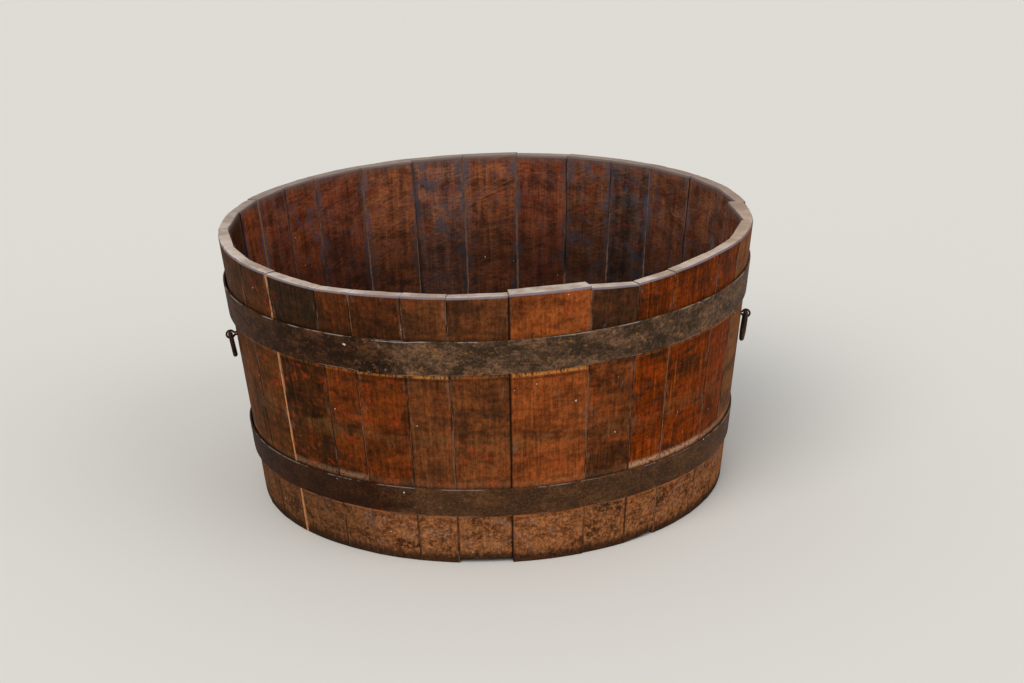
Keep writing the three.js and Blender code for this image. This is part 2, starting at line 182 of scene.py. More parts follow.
def join_sheets(name: str, sheets: list[Sheet], finishes: list[bpy.types.Material],
                crease: float = 38) -> bpy.types.Object:
    """Joins sheets along their shared borders into one closed piece.

    Args:
        name: the piece's name.
        sheets: its surfaces, whose borders lie on each other.
        finishes: the materials, in the order of the sheets' slots.
        crease: edges sharper than this many degrees stay crisp.

    Returns:
        The object, at the origin, with its place in its mesh.
    """
    offsets = np.cumsum([0] + [s.points.shape[0] * s.points.shape[1] for s in sheets])
    corners = np.concatenate([s.faces() + at for s, at in zip(sheets, offsets)])
    counts = [len(s.faces()) for s in sheets]
    mesh = bpy.data.meshes.new(name)
    mesh.from_pydata(np.concatenate([s.points.reshape(-1, 3) for s in sheets]), [], corners.tolist())
    flat = corners.ravel()
    for title, part in (("GrainMap", "grain"), ("EdgeMap", "edge"), ("EndMap", "ends")):
        values = np.concatenate([getattr(s, part).reshape(-1, 2) for s in sheets])
        layer = mesh.uv_layers.new(name=title, do_init=False)
        layer.uv.foreach_set("vector", values[flat].astype(np.float32).ravel())
    for title, kind in (("deep", "color"), ("warm", "color"), ("traits", "vector")):
        values = np.repeat([getattr(s, title) for s in sheets], np.array(counts) * 4, axis=0)
        layer = mesh.attributes.new(title, f"FLOAT_{kind.upper()}", "CORNER")
        layer.data.foreach_set(kind, values.astype(np.float32).ravel())
    mesh.polygons.foreach_set("material_index", np.repeat([s.slot for s in sheets], counts))
    for finish in finishes:
        mesh.materials.append(finish)
    close_mesh(mesh, crease)
    piece = bpy.data.objects.new(name, mesh)
    bpy.context.scene.collection.objects.link(piece)
    return piece


def close_mesh(mesh: bpy.types.Mesh, crease: float) -> None:
    """Merges the borders of a mesh, turns its faces outwards and shades it smooth.

    Args:
        mesh: the mesh, changed in place.
        crease: edges sharper than this many degrees stay crisp.
    """
    work = bmesh.new()
    work.from_mesh(mesh)
    bmesh.ops.remove_doubles(work, verts=work.verts, dist=MERGE)
    bmesh.ops.dissolve_degenerate(work, edges=work.edges, dist=MERGE)
    bmesh.ops.recalc_face_normals(work, faces=work.faces)
    work.to_mesh(mesh)
    work.free()
    mesh.polygons.foreach_set("use_smooth", np.ones(len(mesh.polygons), bool))
    mesh.set_sharp_from_angle(angle=np.radians(crease))
    mesh.update()


def slab(front: Sheet, back: Sheet, end_slot: int, layers: int = 5) -> list[Sheet]:
    """Closes two sheets of one grid into a slab, each border filled by straight lines between them.

    Args:
        front: one face of the slab.
        back: the other face, with as many rows and columns.
        end_slot: the material of the borders at the first and last row.
        layers: how many faces there are through the thickness.

    Returns:
        The two sheets and the four borders.
    """
    share = np.linspace(0, 1, layers + 1)[:, None, None]

    def border(cut: tuple, slot: int) -> Sheet:
        """Spans the gap between the two sheets along one of their borders."""
        first, last = front.points[cut], back.points[cut]
        points = blend(first[None], last[None], share)
        through = np.linalg.norm(last - first, axis=-1)[None] * share[..., 0]
        grain = blend(front.grain[cut][None], back.grain[cut][None], share).copy()
        if slot == end_slot:
            grain[..., 1] = through
        edge = blend(front.edge[cut][None], back.edge[cut][None], share)
        ends = blend(front.ends[cut][None], back.ends[cut][None], share)
        return Sheet(points, grain, edge, ends, slot, front.deep, front.warm, front.traits)

    low = border((0, slice(None)), end_slot)
    high = border((-1, slice(None)), end_slot)
    left = border((slice(None), 0), front.slot)
    right = border((slice(None), -1), front.slot)
    return [front, back, low, high, left, right]


def turned(profile: Array, place: Array, axes: tuple[Array, Array, Array], facets: int,
           wander: float = 0.0, seed: int = 0) -> Sheet:
    """Turns a profile about an axis: radius times cosine and sine of the angle, and height.

    Args:
        profile: points of radius and height, in order.
        place: where height 0 lies on the axis.
        axes: two unit vectors across the axis and the one along it.
        facets: steps round the axis.
        wander: share by which hammering changes the radius.
        seed: picks the hammering.

    Returns:
        One sheet, profile by angle, that meets itself.
    """
    angle = np.linspace(0, 2 * np.pi, facets + 1)[None]
    radius, height = profile[:, :1], profile[:, 1:]
    radius = radius * (1 + wander * ripple(seed, np.cos(angle), np.sin(angle), height / MM / 5))
    x, y, z = axes
    points = (radius * np.cos(angle))[..., None] * x + (radius * np.sin(angle))[..., None] * y
    return plain_sheet(points + (height + 0 * angle)[..., None] * z + place)


def swept(path: Array, side: Array, radius: Array, facets: int) -> Sheet:
    """Carries a round wire along a flat path: the point plus radius times the turned normal.

    Args:
        path: points along the middle of the wire, all in one plane.
        side: the unit normal of that plane.
        radius: the wire's radius at each point.
        facets: steps round the wire.

    Returns:
        One sheet, path by angle.
    """
    tangent = np.gradient(path, axis=0)
    if np.allclose(path[0], path[-1]):
        tangent[0] = tangent[-1] = path[1] - path[-2]
    tangent /= np.linalg.norm(tangent, axis=1, keepdims=True)
    normal = np.cross(tangent, side)
    angle = np.linspace(0, 2 * np.pi, facets + 1)[None, :, None]
    ring = np.cos(angle) * normal[:, None] + np.sin(angle) * side
    return plain_sheet(path[:, None] + radius[:, None, None] * ring)


# ------------------------------------------------------------------------------------ finishes


@dataclass(frozen=True)
class Noise:
    """A noise: its cells to the metre on each axis, and how fine, rough and warped they are."""

    scales: tuple[float, ...]
    detail: float = 3.0
    rough: float = 0.55
    warp: float = 0.0


@dataclass(frozen=True)
class Ramp:
    """A smooth way from start to stop while a value goes from low to high."""

    low: float
    high: float
    start: float = 0.0
    stop: float = 1.0


@dataclass(frozen=True)
class Stripe:
    """A stripe along a line: where it starts, is full and stops, as heights over the line."""

    start: float
    full: float
    stop: float


@dataclass(frozen=True)
class Coat:
    """A thin coat of one colour, which comes in while a value goes from low to high."""

    tone: str
    low: float
    high: float
    most: float = 1.0

    def ramp(self) -> Ramp:
        """Gives how the coat comes in."""
        return Ramp(self.low, self.high, 0.0, self.most)


class NodeBench:
    """Lays out the nodes of one material, whose colour takes one coat after another."""

    def __init__(self, name: str) -> None:
        """Starts an empty material of that name."""
        self.material = bpy.data.materials.new(name)
        self.material.use_nodes = True
        self.tree = self.material.node_tree
        self.shader = self.tree.nodes["Principled BSDF"]
        self.colour: object = seen("ffffff")

    def put(self, kind: str, settings: dict | None = None, **sockets: object) -> bpy.types.Node:
        """Adds a node.

        Args:
            kind: the node's type, without its ShaderNode prefix.
            settings: its own properties.
            **sockets: values or sockets for its inputs, spaces written as underscores.

        Returns:
            The node.
        """
        node = self.tree.nodes.new(f"ShaderNode{kind}")
        for key, value in (settings or {}).items():
            setattr(node, key, value)
        for key, value in sockets.items():
            self.feed(node.inputs[key.replace("_", " ")], value)
        return node

    def feed(self, target: Socket, value: object) -> None:
        """Links a socket to a target, or writes a number or colour on it."""
        if isinstance(value, bpy.types.NodeSocket):
            self.tree.links.new(value, target)
        else:
            target.default_value = value

    def step(self, kind: str, first: object, second: object = 0.0) -> Socket:
        """Gives one arithmetic step, such as ADD or MULTIPLY, on two values."""
        node = self.put("Math", {"operation": kind})
        self.feed(node.inputs[0], first)
        self.feed(node.inputs[1], second)
        return node.outputs[0]

    def total(self, *terms: tuple[object, float]) -> Socket:
        """Adds up values, each times its weight."""
        weighed = (self.product(value, weight) if weight != 1 else value for value, weight in terms)
        return reduce(partial(self.step, "ADD"), weighed)

    def product(self, *factors: object) -> Socket:
        """Multiplies values."""
        return reduce(partial(self.step, "MULTIPLY"), factors)

    def greatest(self, *values: Socket) -> Socket:
        """Gives the greatest of several values."""
        return reduce(partial(self.step, "MAXIMUM"), values)

    def off(self, value: Socket, middle: float) -> Socket:
        """Gives how far a value is off its middle."""
        return self.step("SUBTRACT", value, middle)

    def mix(self, share: object, first: object, second: object, kind: str = "MIX") -> Socket:
        """Mixes two colours by a share, in the blend mode of that kind."""
        node = self.put("Mix", {"data_type": "RGBA", "blend_type": kind, "clamp_factor": True})
        for index, value in ((0, share), (6, first), (7, second)):
            self.feed(node.inputs[index], value)
        return node.outputs[2]

    def ease(self, value: object, ramp: Ramp) -> Socket:
        """Gives a value's place on a ramp."""
        node = self.put("MapRange", {"interpolation_type": "SMOOTHSTEP"}, Value=value, From_Min=ramp.low,
                        From_Max=ramp.high, To_Min=ramp.start, To_Max=ramp.stop)
        return node.outputs[0]

    def window(self, value: Socket, stripe: Stripe) -> Socket:
        """Gives 1 inside a stripe and 0 outside, with soft edges that are both as wide."""
        soft = stripe.full - stripe.start
        first = self.ease(value, Ramp(stripe.start, stripe.full))
        return self.product(first, self.ease(value, Ramp(stripe.stop, stripe.stop - soft)))

    def noise(self, vector: Socket, look: Noise) -> Socket:
        """Gives a noise from about 0.2 to 0.8 over a vector in metres."""
        scaled = self.put("VectorMath", {"operation": "MULTIPLY"})
        self.feed(scaled.inputs[0], vector)
        scaled.inputs[1].default_value = (*look.scales, 0.0)[:3]
        node = self.put("TexNoise", Vector=scaled.outputs[0], Scale=1.0, Detail=look.detail,
                        Roughness=look.rough, Distortion=look.warp)
        return node.outputs[0]

    def tint(self, share: object, colour: object) -> None:
        """Mixes a colour into the colour so far by a share."""
        self.colour = self.mix(share, self.colour, colour)

    def coated(self, base: object, coat: Coat, value: Socket) -> Socket:
        """Gives a base colour with a coat on it where a value brings the coat in."""
        return self.mix(self.ease(value, coat.ramp()), base, seen(coat.tone))

    def lay(self, coat: Coat, value: Socket, *shares: object, kind: str = "MIX") -> Socket:
        """Lays a coat on the colour so far.

        Args:
            coat: its tone, and between which values it comes in.
            value: what brings it in.
            *shares: what thins it.
            kind: the blend mode.

        Returns:
            How much of it lies at each place.
        """
        there = self.product(self.ease(value, coat.ramp()), *shares)
        self.colour = self.mix(there, self.colour, seen(coat.tone), kind)
        return there

    def pair(self, name: str) -> tuple[Socket, Socket, Socket]:
        """Gives a map of the piece, whole and as its two numbers."""
        whole = self.put("UVMap", {"uv_map": name}).outputs[0]
        parts = self.put("SeparateXYZ", Vector=whole)
        return whole, parts.outputs[0], parts.outputs[1]

    def carried(self, name: str) -> bpy.types.Node:
        """Gives the node that reads a value that the piece's faces carry."""
        return self.put("Attribute", {"attribute_name": name})

    def place(self) -> tuple[Socket, Socket, Socket, Socket]:
        """Gives the object coordinates, whole and as X, Y and Z."""
        whole = self.put("TexCoord").outputs["Object"]
        parts = self.put("SeparateXYZ", Vector=whole)
        return whole, parts.outputs[0], parts.outputs[1], parts.outputs[2]

    def surface(self, rough: object, relief: object = None, depth: float = 0.0,
                **sockets: object) -> bpy.types.Material:
        """Connects the colour so far and the rest of the finish to the shader.

        Args:
            rough: the roughness.
            relief: height from 0 to 1 for the bump, or None.
            depth: how deep the bump is, in metres.
            **sockets: constants for the shader's own sockets, spaces written as underscores.

        Returns:
            The finished material.
        """
        self.feed(self.shader.inputs["Base Color"], self.colour)
        self.feed(self.shader.inputs["Roughness"], rough)
        for key, value in sockets.items():
            self.shader.inputs[key.replace("_", " ")].default_value = value
        if relief is not None:
            bump = self.put("Bump", Strength=1.0, Distance=depth, Height=relief)
            self.feed(self.shader.inputs["Normal"], bump.outputs[0])
        return self.material


@dataclass(frozen=True)
class Texture:
    """The fine texture of a wooden face: its grit, its fibres, its streaks, and how pits darken."""

    grit: Noise
    fibre: Noise
    streak: Noise
    grit_share: float
    pits: Coat


class StaveBench(NodeBench):
    """A bench for one face of the staves, with what the face's maps hold and its fine texture."""

    def __init__(self, name: str, texture: Texture) -> None:
        """Starts the material.

        Args:
            name: the material's name.
            texture: the fine texture of the face.
        """
        super().__init__(name)
        self.grain, self.across, self.up = self.pair("GrainMap")
        _, self.seam, self.filled = self.pair("EdgeMap")
        _, self.below_rim, self.above_foot = self.pair("EndMap")
        self.deep = self.carried("deep").outputs["Color"]
        self.warm = self.carried("warm").outputs["Color"]
        traits = self.put("SeparateXYZ", Vector=self.carried("traits").outputs["Vector"])
        self.traits = traits.outputs[:3]
        self.texture = texture
        self.grit = self.over(texture.grit)
        self.fibre = self.over(texture.fibre)
        self.streak = self.over(texture.streak)
        self.shade = self.total((self.grit, texture.grit_share), (self.fibre, 1 - texture.grit_share))

    def over(self, look: Noise) -> Socket:
        """Gives a noise over the stave's own grain."""
        return self.noise(self.grain, look)

    def blotch(self, ramp: Ramp, *terms: tuple[Socket, float]) -> None:
        """Starts the colour with patches of the warm tone on the deep one.

        Args:
            ramp: how the warm tone comes in with the sum of the terms.
            *terms: noises and their weights, to which the stave's own share of patches is added.
        """
        patchy = self.total(*terms, (self.off(self.traits[0], 0.5), 0.24))
        self.colour = self.mix(self.ease(patchy, ramp), self.deep, self.warm)

    def darken_pits(self, most: float) -> None:
        """Darkens the pits of the texture, by up to a share."""
        self.lay(replace(self.texture.pits, most=most), self.shade, kind="MULTIPLY")


@dataclass(frozen=True)
class WoodTone:
    """The two colours of one board: the deep one of its body and the warm one of its patches."""

    deep: str
    warm: str
    patches: float = 0.5


class Tone(Enum):
    """The boards' colours, named as a joiner would."""

    RUSSET = WoodTone("42220e", "823e14", 0.50)
    UMBER = WoodTone("2b190b", "58300f", 0.46)
    OLIVE = WoodTone("3a220d", "6e3e16", 0.50)
    TAWNY = WoodTone("5a3618", "a0602c", 0.54)
    AMBER = WoodTone("6a3418", "a85828", 0.60)
    EMBER = WoodTone("4e2204", "923c04", 0.54)
    SLATE = WoodTone("482814", "9c5226", 0.44)
    CHESTNUT = WoodTone("502e1a", "8e5028", 0.52)
    WALNUT = WoodTone("583422", "90583c", 0.50)
    PLUM = WoodTone("5a3a30", "a66c52", 0.52)
    MAHOGANY = WoodTone("5c2e1a", "a85630", 0.52)
    ROSEWOOD = WoodTone("5e3626", "b0663f", 0.54)
    CEDAR = WoodTone("5a3020", "9e5638", 0.52)
    INK = WoodTone("3e2c23", "7a5444", 0.44)


@dataclass(frozen=True)
class Level:
    """A line round the tub that rises by a tilt, in degrees, towards one azimuth."""

    height: float
    tilt: float
    highest: float

    def at(self, azimuth: Array, radius: float) -> Array:
        """Gives the line's height at azimuths on a circle: height plus tilt times the cosine."""
        rise = np.tan(np.radians(self.tilt)) * radius
        return self.height + rise * np.cos(np.radians(azimuth - self.highest))

    def above(self, bench: NodeBench) -> Socket:
        """Gives how far a place of the surface lies above the line."""
        _, x, y, z = bench.place()
        rise, turn = np.tan(np.radians(self.tilt)), np.radians(self.highest)
        level = bench.total((z, 1), (x, -float(rise * np.cos(turn))), (y, -float(rise * np.sin(turn))))
        return bench.step("SUBTRACT", level, self.height)


@dataclass(frozen=True)
class OuterVarnish:
    """Old varnish outside the staves, blotched by sun and hands, with what the years left on it.

    The noises come first, then each layer's coats, ramps and stripes in the order of the layers.
    """

    upper_edge: Level
    lower_top: Level
    lower_edge: Level

    texture: Texture = Texture(
        grit=Noise((150, 120), 6, 0.8),
        fibre=Noise((340, 18), 5, 0.65),
        streak=Noise((120, 8), 4, 0.6),
        grit_share=0.66,
        pits=Coat("9c9c9c", 0.62, 0.38),
    )
    cloud: Noise = Noise((26, 22), 9, 0.7, 0.4)
    smear: Noise = Noise((12, 70), 8, 0.68, 0.3)
    drift: Noise = Noise((7, 11), 4, 0.6, 0.6)
    embers: Noise = Noise((40, 46), 8, 0.74, 0.3)
    burns: Noise = Noise((150, 7), 6, 0.75)
    smoke: Noise = Noise((15, 52), 9, 0.72, 0.3)
    haze: Noise = Noise((95, 26), 7, 0.72)
    spots: Noise = Noise((42, 60), 9, 0.74)
    scuffs: Noise = Noise((60, 130), 8, 0.76)
    bruises: Noise = Noise((20, 26), 8, 0.7, 0.6)
    sand: Noise = Noise((190, 200), 4, 0.8)
    teeth: Noise = Noise((330, 60), 5, 0.75)
    breaks: Noise = Noise((17, 40), 5)
    crumbs: Noise = Noise((190, 170), 5, 0.75)
    crumble: Noise = Noise((160, 90), 5, 0.7)
    waver: Noise = Noise((22, 16), 4)
    losses: Noise = Noise((10, 20), 5, 0.65)
    flecks: Noise = Noise((150, 140), 1)

    blotches: Ramp = Ramp(0.41, 0.59)
    glow: Coat = Coat("ac421a", 0.50, 0.62)
    glow_clumps: Ramp = Ramp(0.42, 0.56)
    scorched: Coat = Coat("b85c16", 0.53, 0.64, 0.55)
    charred: Coat = Coat("3a1a08", 0.47, 0.38, 0.6)
    soot: Coat = Coat("30271a", 0.47, 0.36)
    tide_mark: str = "76502e"
    tide: Stripe = Stripe(120 * MM, 134 * MM, 152 * MM)
    tide_breaks: Ramp = Ramp(0.40, 0.60, 0.10, 0.55)
    faded: Coat = Coat("35281c", 20 * MM, 55 * MM)
    dull_staves: Ramp = Ramp(0.58, 0.43, 0.0, 0.70)
    veil: Coat = Coat("8a6654", 0.59, 0.72, 0.36)
    veil_at_seams: Ramp = Ramp(14 * MM, 2 * MM, 0, 0.08)

    band: Ramp = Ramp(1 * MM, -3 * MM)
    earth: str = "58331e"
    tan: Coat = Coat("b07246", 0.36, 0.64)
    scuffed: Coat = Coat("c06832", 0.52, 0.60, 0.7)
    greyed: Coat = Coat("8c7064", 0.54, 0.64, 0.55)
    bruised: Coat = Coat("3a2317", 0.48, 0.38, 0.9)
    pale_sand: Coat = Coat("c88a56", 0.50, 0.62, 0.5)
    dark_sand: Coat = Coat("3c2417", 0.48, 0.36, 0.55)
    # painted shade on the band, towards the front (-Y)
    shaded: Coat = Coat("3f2818", -110 * MM, -220 * MM, 0.55)
    stained_foot: Coat = Coat("2a1c13", -5 * MM, -17 * MM, 0.85)

    # painted shadow: a dark line below the bared strip under the upper hoop
    shadow: str = "24180f"
    shadow_line: Stripe = Stripe(-13 * MM, -10.5 * MM, -8.5 * MM)
    raw: str = "cc8846"
    raw_line: Stripe = Stripe(-8.5 * MM, -6.5 * MM, 4 * MM)
    raw_teeth: Ramp = Ramp(0.42, 0.55)
    scraped: str = "be6a30"
    scraped_line: Stripe = Stripe(-7 * MM, -5.5 * MM, 1 * MM)
    scraped_teeth: Ramp = Ramp(0.38, 0.52)
    scraped_breaks: Ramp = Ramp(0.40, 0.56, 0.15, 1.0)
    dust: str = "b48c6c"
    ledge: Stripe = Stripe(12 * MM, 5 * MM, -3 * MM)
    ledge_crumbs: Ramp = Ramp(0.38, 0.52)

    gap: Coat = Coat("1d120b", 3.0 * MM, 0.9 * MM, 0.75)
    filler_grey: str = "7c5c48"
    filler: Coat = Coat("cc8c5c", 0.60, 0.80)
    filler_pits: Coat = Coat("4a3022", 0.52, 0.38, 0.6)
    filler_edge: Ramp = Ramp(1.7 * MM, 0.7 * MM)
    filler_kept: Ramp = Ramp(0.62, 0.74)
    any_filler: Ramp = Ramp(0.0, 0.15)
    wide_filler: Ramp = Ramp(0.7, 1.0, 0, 1.2 * MM)
    thick_filler: Ramp = Ramp(0.2, 1.0, 0.6, 0.95)

    arris: str = "77717c"
    arris_wood: Coat = Coat("8e7468", 0.46, 0.62)
    arris_drop: Ramp = Ramp(3.4 * MM, 1.9 * MM, 0, 0.92)
    speck: Coat = Coat("c9bdae", 0.785, 0.80)
    sheen: Ramp = Ramp(0.3, 0.7, 0.50, 0.68)

    def make(self) -> bpy.types.Material:
        """Builds the varnish: ground, dusty band, rubbed lines, seams and rim, laid in that order.

        Returns:
            The material, which reads the staves' own maps and tones.
        """
        bench = StaveBench("outer_varnish", self.texture)
        self.lay_ground(bench)
        band = self.lay_dusty_band(bench)
        rubs = self.rub_lines(bench)
        packed = self.pack_seams(bench)
        bare = bench.coated(seen(self.arris), self.arris_wood, bench.grit)
        bench.tint(bench.ease(bench.below_rim, self.arris_drop), bare)
        bench.lay(self.speck, bench.over(self.flecks))
        matte = bench.greatest(band, rubs, packed)
        rough = bench.total((bench.ease(bench.grit, self.sheen), 1), (matte, 0.22))
        woody = (bench.grit, 0.55), (bench.fibre, 0.35), (bench.streak, 0.35)
        relief = bench.total(*woody, (packed, 0.25))
        return bench.surface(rough, relief, 1.0 * MM, Specular_IOR_Level=0.02)

    def lay_ground(self, bench: StaveBench) -> None:
        """Blotches the deep and warm tones, with glow, burns, soot, a tide mark and a dusty veil.

        Args:
            bench: the staves' bench; its third trait says how sunburnt a stave is.
        """
        patches, _, burnt = bench.traits
        cloud, smear, drift = (bench.over(look) for look in (self.cloud, self.smear, self.drift))
        bench.blotch(self.blotches, (cloud, 0.34), (smear, 0.28), (bench.streak, 0.14), (drift, 0.24))
        heat = bench.total((burnt, 0.30), (0.48, 1))
        bench.lay(self.glow, bench.over(self.embers), bench.ease(drift, self.glow_clumps), heat)
        burns = bench.over(self.burns)
        bench.lay(self.scorched, burns, burnt)
        bench.lay(self.charred, burns, burnt)
        bench.lay(self.soot, bench.over(self.smoke), bench.total((burnt, 0.35), (0.38, 1)))
        height = bench.total((bench.place()[3], 1), (smear, -90 * MM))
        tide = bench.product(bench.window(height, self.tide), bench.ease(cloud, self.tide_breaks))
        bench.tint(tide, seen(self.tide_mark))
        bench.lay(self.faded, self.upper_edge.above(bench), bench.ease(patches, self.dull_staves))
        bench.darken_pits(0.95)
        close = bench.ease(bench.seam, self.veil_at_seams)
        bench.lay(self.veil, bench.total((bench.over(self.haze), 1), (close, 1)))

    def lay_dusty_band(self, bench: StaveBench) -> Socket:
        """Lays the matte tan wood below the lower hoop, scuffed orange, stained at the foot and with
        painted shade towards the front.

        Args:
            bench: the staves' bench.

        Returns:
            How much of the band there is at each place.
        """
        varnished = bench.colour
        band = bench.ease(self.lower_edge.above(bench), self.band)
        spots, bruises, sand = (bench.over(look) for look in (self.spots, self.bruises, self.sand))
        bench.colour = seen(self.earth)
        bench.lay(self.tan, spots)
        bench.lay(self.scuffed, bench.over(self.scuffs))
        bench.lay(self.greyed, bruises)
        bench.lay(self.bruised, bruises)
        bench.darken_pits(0.85)
        bench.lay(self.pale_sand, sand)
        bench.lay(self.dark_sand, sand)
        # painted shade: the band darkens towards the front of the tub
        bench.lay(self.shaded, bench.place()[1])
        bench.colour = bench.mix(bench.product(band, 0.88), varnished, bench.colour)
        ragged = bench.total((bench.above_foot, 1), (bench.streak, -26 * MM), (spots, -20 * MM))
        bench.lay(self.stained_foot, ragged)
        return band

    def rub_lines(self, bench: StaveBench) -> Socket:
        """Bares the wood below both hoops, paints a shadow line under the upper one, and leaves dust on
        the lower hoop's ledge.

        Args:
            bench: the staves' bench; its second and third traits say how bare the line below the
                upper hoop is and how much dust lies on the ledge.

        Returns:
            How much is rubbed or dusty at each place.
        """
        _, worn, dusty = bench.traits
        teeth = bench.over(self.teeth)
        rubbed = bench.total((self.upper_edge.above(bench), 1), (teeth, -3 * MM))
        strip = bench.window(rubbed, self.raw_line)
        strip = bench.product(strip, worn, bench.ease(teeth, self.raw_teeth))
        # painted shadow under the upper hoop, as strong as the stave's wear trait allows
        shadow = bench.window(rubbed, self.shadow_line)
        bench.tint(bench.product(shadow, worn, 0.6), seen(self.shadow))
        bench.tint(bench.product(strip, 0.9), seen(self.raw))
        scraped = bench.total((self.lower_edge.above(bench), 1), (teeth, -4 * MM))
        broken = bench.ease(bench.over(self.breaks), self.scraped_breaks)
        line = bench.window(scraped, self.scraped_line)
        line = bench.product(line, bench.ease(teeth, self.scraped_teeth), broken)
        bench.tint(bench.product(line, 0.9), seen(self.scraped))
        ledge = bench.window(self.lower_top.above(bench), self.ledge)
        ledge = bench.product(ledge, bench.ease(bench.over(self.crumbs), self.ledge_crumbs), dusty)
        bench.tint(bench.product(ledge, 0.95), seen(self.dust))
        return bench.greatest(strip, line, ledge)

    def pack_seams(self, bench: StaveBench) -> Socket:
        """Darkens the seams and presses crumbling filler into them, wavering in width.

        Args:
            bench: the staves' bench.

        Returns:
            How much is filled at each place.
        """
        crumble, waver = bench.over(self.crumble), bench.over(self.waver)
        kept = bench.total((bench.over(self.losses), 1), (bench.filled, 0.35))
        wide = bench.ease(bench.filled, self.wide_filler)
        edge = bench.total((bench.seam, 1), (bench.off(waver, 0.46), 8 * MM),
                           (bench.off(crumble, 0.5), 4 * MM), (wide, -1))
        packed = bench.product(bench.ease(edge, self.filler_edge), bench.ease(kept, self.filler_kept),
                               bench.ease(bench.filled, self.any_filler))
        fresh = bench.total((waver, 1), (bench.filled, 0.3))
        tint = bench.coated(seen(self.filler_grey), self.filler, fresh)
        tint = bench.coated(tint, self.filler_pits, crumble)
        bench.lay(self.gap, bench.total((bench.seam, 1), (crumble, 1 * MM)))
        bench.tint(bench.product(packed, bench.ease(bench.filled, self.thick_filler)), tint)
        return packed


@dataclass(frozen=True)
class InnerStain:
    """The staves' flat inner faces: stained, sawn slantwise and dusty blue-grey at the seams."""

    texture: Texture = Texture(
        grit=Noise((110, 300), 5, 0.75, 0.2),
        fibre=Noise((320, 18), 5, 0.65),
        streak=Noise((70, 6), 5),
        grit_share=0.6,
        pits=Coat("a2a2a2", 0.62, 0.38),
    )
    cloud: Noise = Noise((18, 38), 9, 0.7, 0.5)
    embers: Noise = Noise((30, 44), 8, 0.72, 0.3)
    saw: Noise = Noise((22, 300), 4, 0.65, 0.2)
    saw_reach: Noise = Noise((14, 30), 3)
    drift: Noise = Noise((34, 30), 7, 0.7, 0.4)
    creep: Noise = Noise((8, 22), 5, 0.6)
    crumble: Noise = Noise((150, 80), 5, 0.7)
    flecks: Noise = Noise((120, 110), 1)
    saw_lean: float = 0.42

    blotches: Ramp = Ramp(0.40, 0.60)
    glow: Coat = Coat("963c1a", 0.50, 0.62, 0.45)
    sawn: Ramp = Ramp(0.44, 0.60)
    torn: Coat = Coat("a87250", 0.54, 0.66, 0.42)
    cut: str = "26170f"
    cut_marks: Ramp = Ramp(0.46, 0.35)
    bloom: str = "4a4e59"
    bloom_at_seams: Ramp = Ramp(8 * MM, -1 * MM, 0, 0.72)
    bloom_by_filler: Ramp = Ramp(0.0, 0.9, 0.2, 1.0)
    bloom_clouds: Ramp = Ramp(0.50, 0.62, 0, 0.8)
    grime: Coat = Coat("6e5a52", 14 * MM, 3 * MM, 0.5)
    # painted shade: the inner faces darken the further they lie below the rim
    depth_shade: Coat = Coat("150d08", 40 * MM, 180 * MM, 0.66)
    gap: Coat = Coat("1a1311", 2.6 * MM, 0.6 * MM, 0.8)
    filler: Coat = Coat("8a6248", 1.9 * MM, 0.8 * MM, 0.8)
    filler_kept: Ramp = Ramp(0.58, 0.70)
    arris: Coat = Coat("756763", 4.0 * MM, 2.0 * MM, 0.92)
    speck: Coat = Coat("cfc6ba", 0.79, 0.81)
    sheen: Ramp = Ramp(0.3, 0.7, 0.52, 0.68)

    def make(self) -> bpy.types.Material:
        """Builds the stain: ground, saw marks, bloom, painted shade deepening down the tub, and seams,
        laid in that order.

        Returns:
            The material, which reads the staves' own maps and tones.
        """
        bench = StaveBench("inner_stain", self.texture)
        cloud = bench.over(self.cloud)
        bench.blotch(self.blotches, (cloud, 0.65), (bench.streak, 0.35))
        bench.lay(self.glow, bench.over(self.embers))
        bench.darken_pits(0.95)
        cuts = self.saw_marks(bench)
        self.lay_bloom(bench)
        bench.lay(self.grime, bench.below_rim)
        # painted shade, darker towards the bottom of the tub, with a cloudy edge
        bench.lay(self.depth_shade, bench.total((bench.below_rim, 1), (bench.off(cloud, 0.5), 60 * MM)))
        ragged = bench.total((bench.seam, 1), (bench.off(bench.over(self.crumble), 0.5), 6 * MM))
        bench.lay(self.gap, bench.seam)
        kept = bench.total((bench.streak, 1), (bench.filled, 0.3))
        bench.lay(self.filler, ragged, bench.ease(kept, self.filler_kept))
        bench.lay(self.arris, bench.below_rim)
        bench.lay(self.speck, bench.over(self.flecks))
        rough = bench.ease(bench.grit, self.sheen)
        relief = bench.total((bench.grit, 0.45), (bench.fibre, 0.4), (cuts, -0.4))
        return bench.surface(rough, relief, 1.0 * MM, Specular_IOR_Level=0.04)

    def saw_marks(self, bench: StaveBench) -> Socket:
        """Scores the face with a saw's marks, which rise to the right and fade in and out.

        Args:
            bench: the staves' bench; its second trait says how plain the marks are.

        Returns:
            How deep the marks cut at each place.
        """
        lean = bench.total((bench.up, 1), (bench.across, self.saw_lean))
        slant = bench.put("CombineXYZ", X=bench.across, Y=lean).outputs[0]
        marks = bench.noise(slant, self.saw)
        sawn = bench.ease(bench.noise(slant, self.saw_reach), self.sawn)
        where = bench.product(sawn, bench.traits[1])
        bench.lay(self.torn, marks, where)
        cuts = bench.product(bench.ease(marks, self.cut_marks), where)
        bench.tint(bench.product(cuts, 0.5), seen(self.cut))
        return cuts

    def lay_bloom(self, bench: StaveBench) -> None:
        """Lays blue-grey bloom that creeps in from the seams and drifts over some boards.

        Args:
            bench: the staves' bench; its third trait says how much drifts over the board.
        """
        drift, creep = bench.over(self.drift), bench.over(self.creep)
        edge = bench.total((bench.seam, 1), (bench.off(creep, 0.46), -46 * MM),
                           (bench.off(drift, 0.5), 26 * MM))
        near = bench.ease(edge, self.bloom_at_seams)
        near = bench.product(near, bench.ease(bench.filled, self.bloom_by_filler))
        clouds = bench.product(bench.ease(drift, self.bloom_clouds), bench.traits[2])
        bench.tint(bench.greatest(near, clouds), seen(self.bloom))


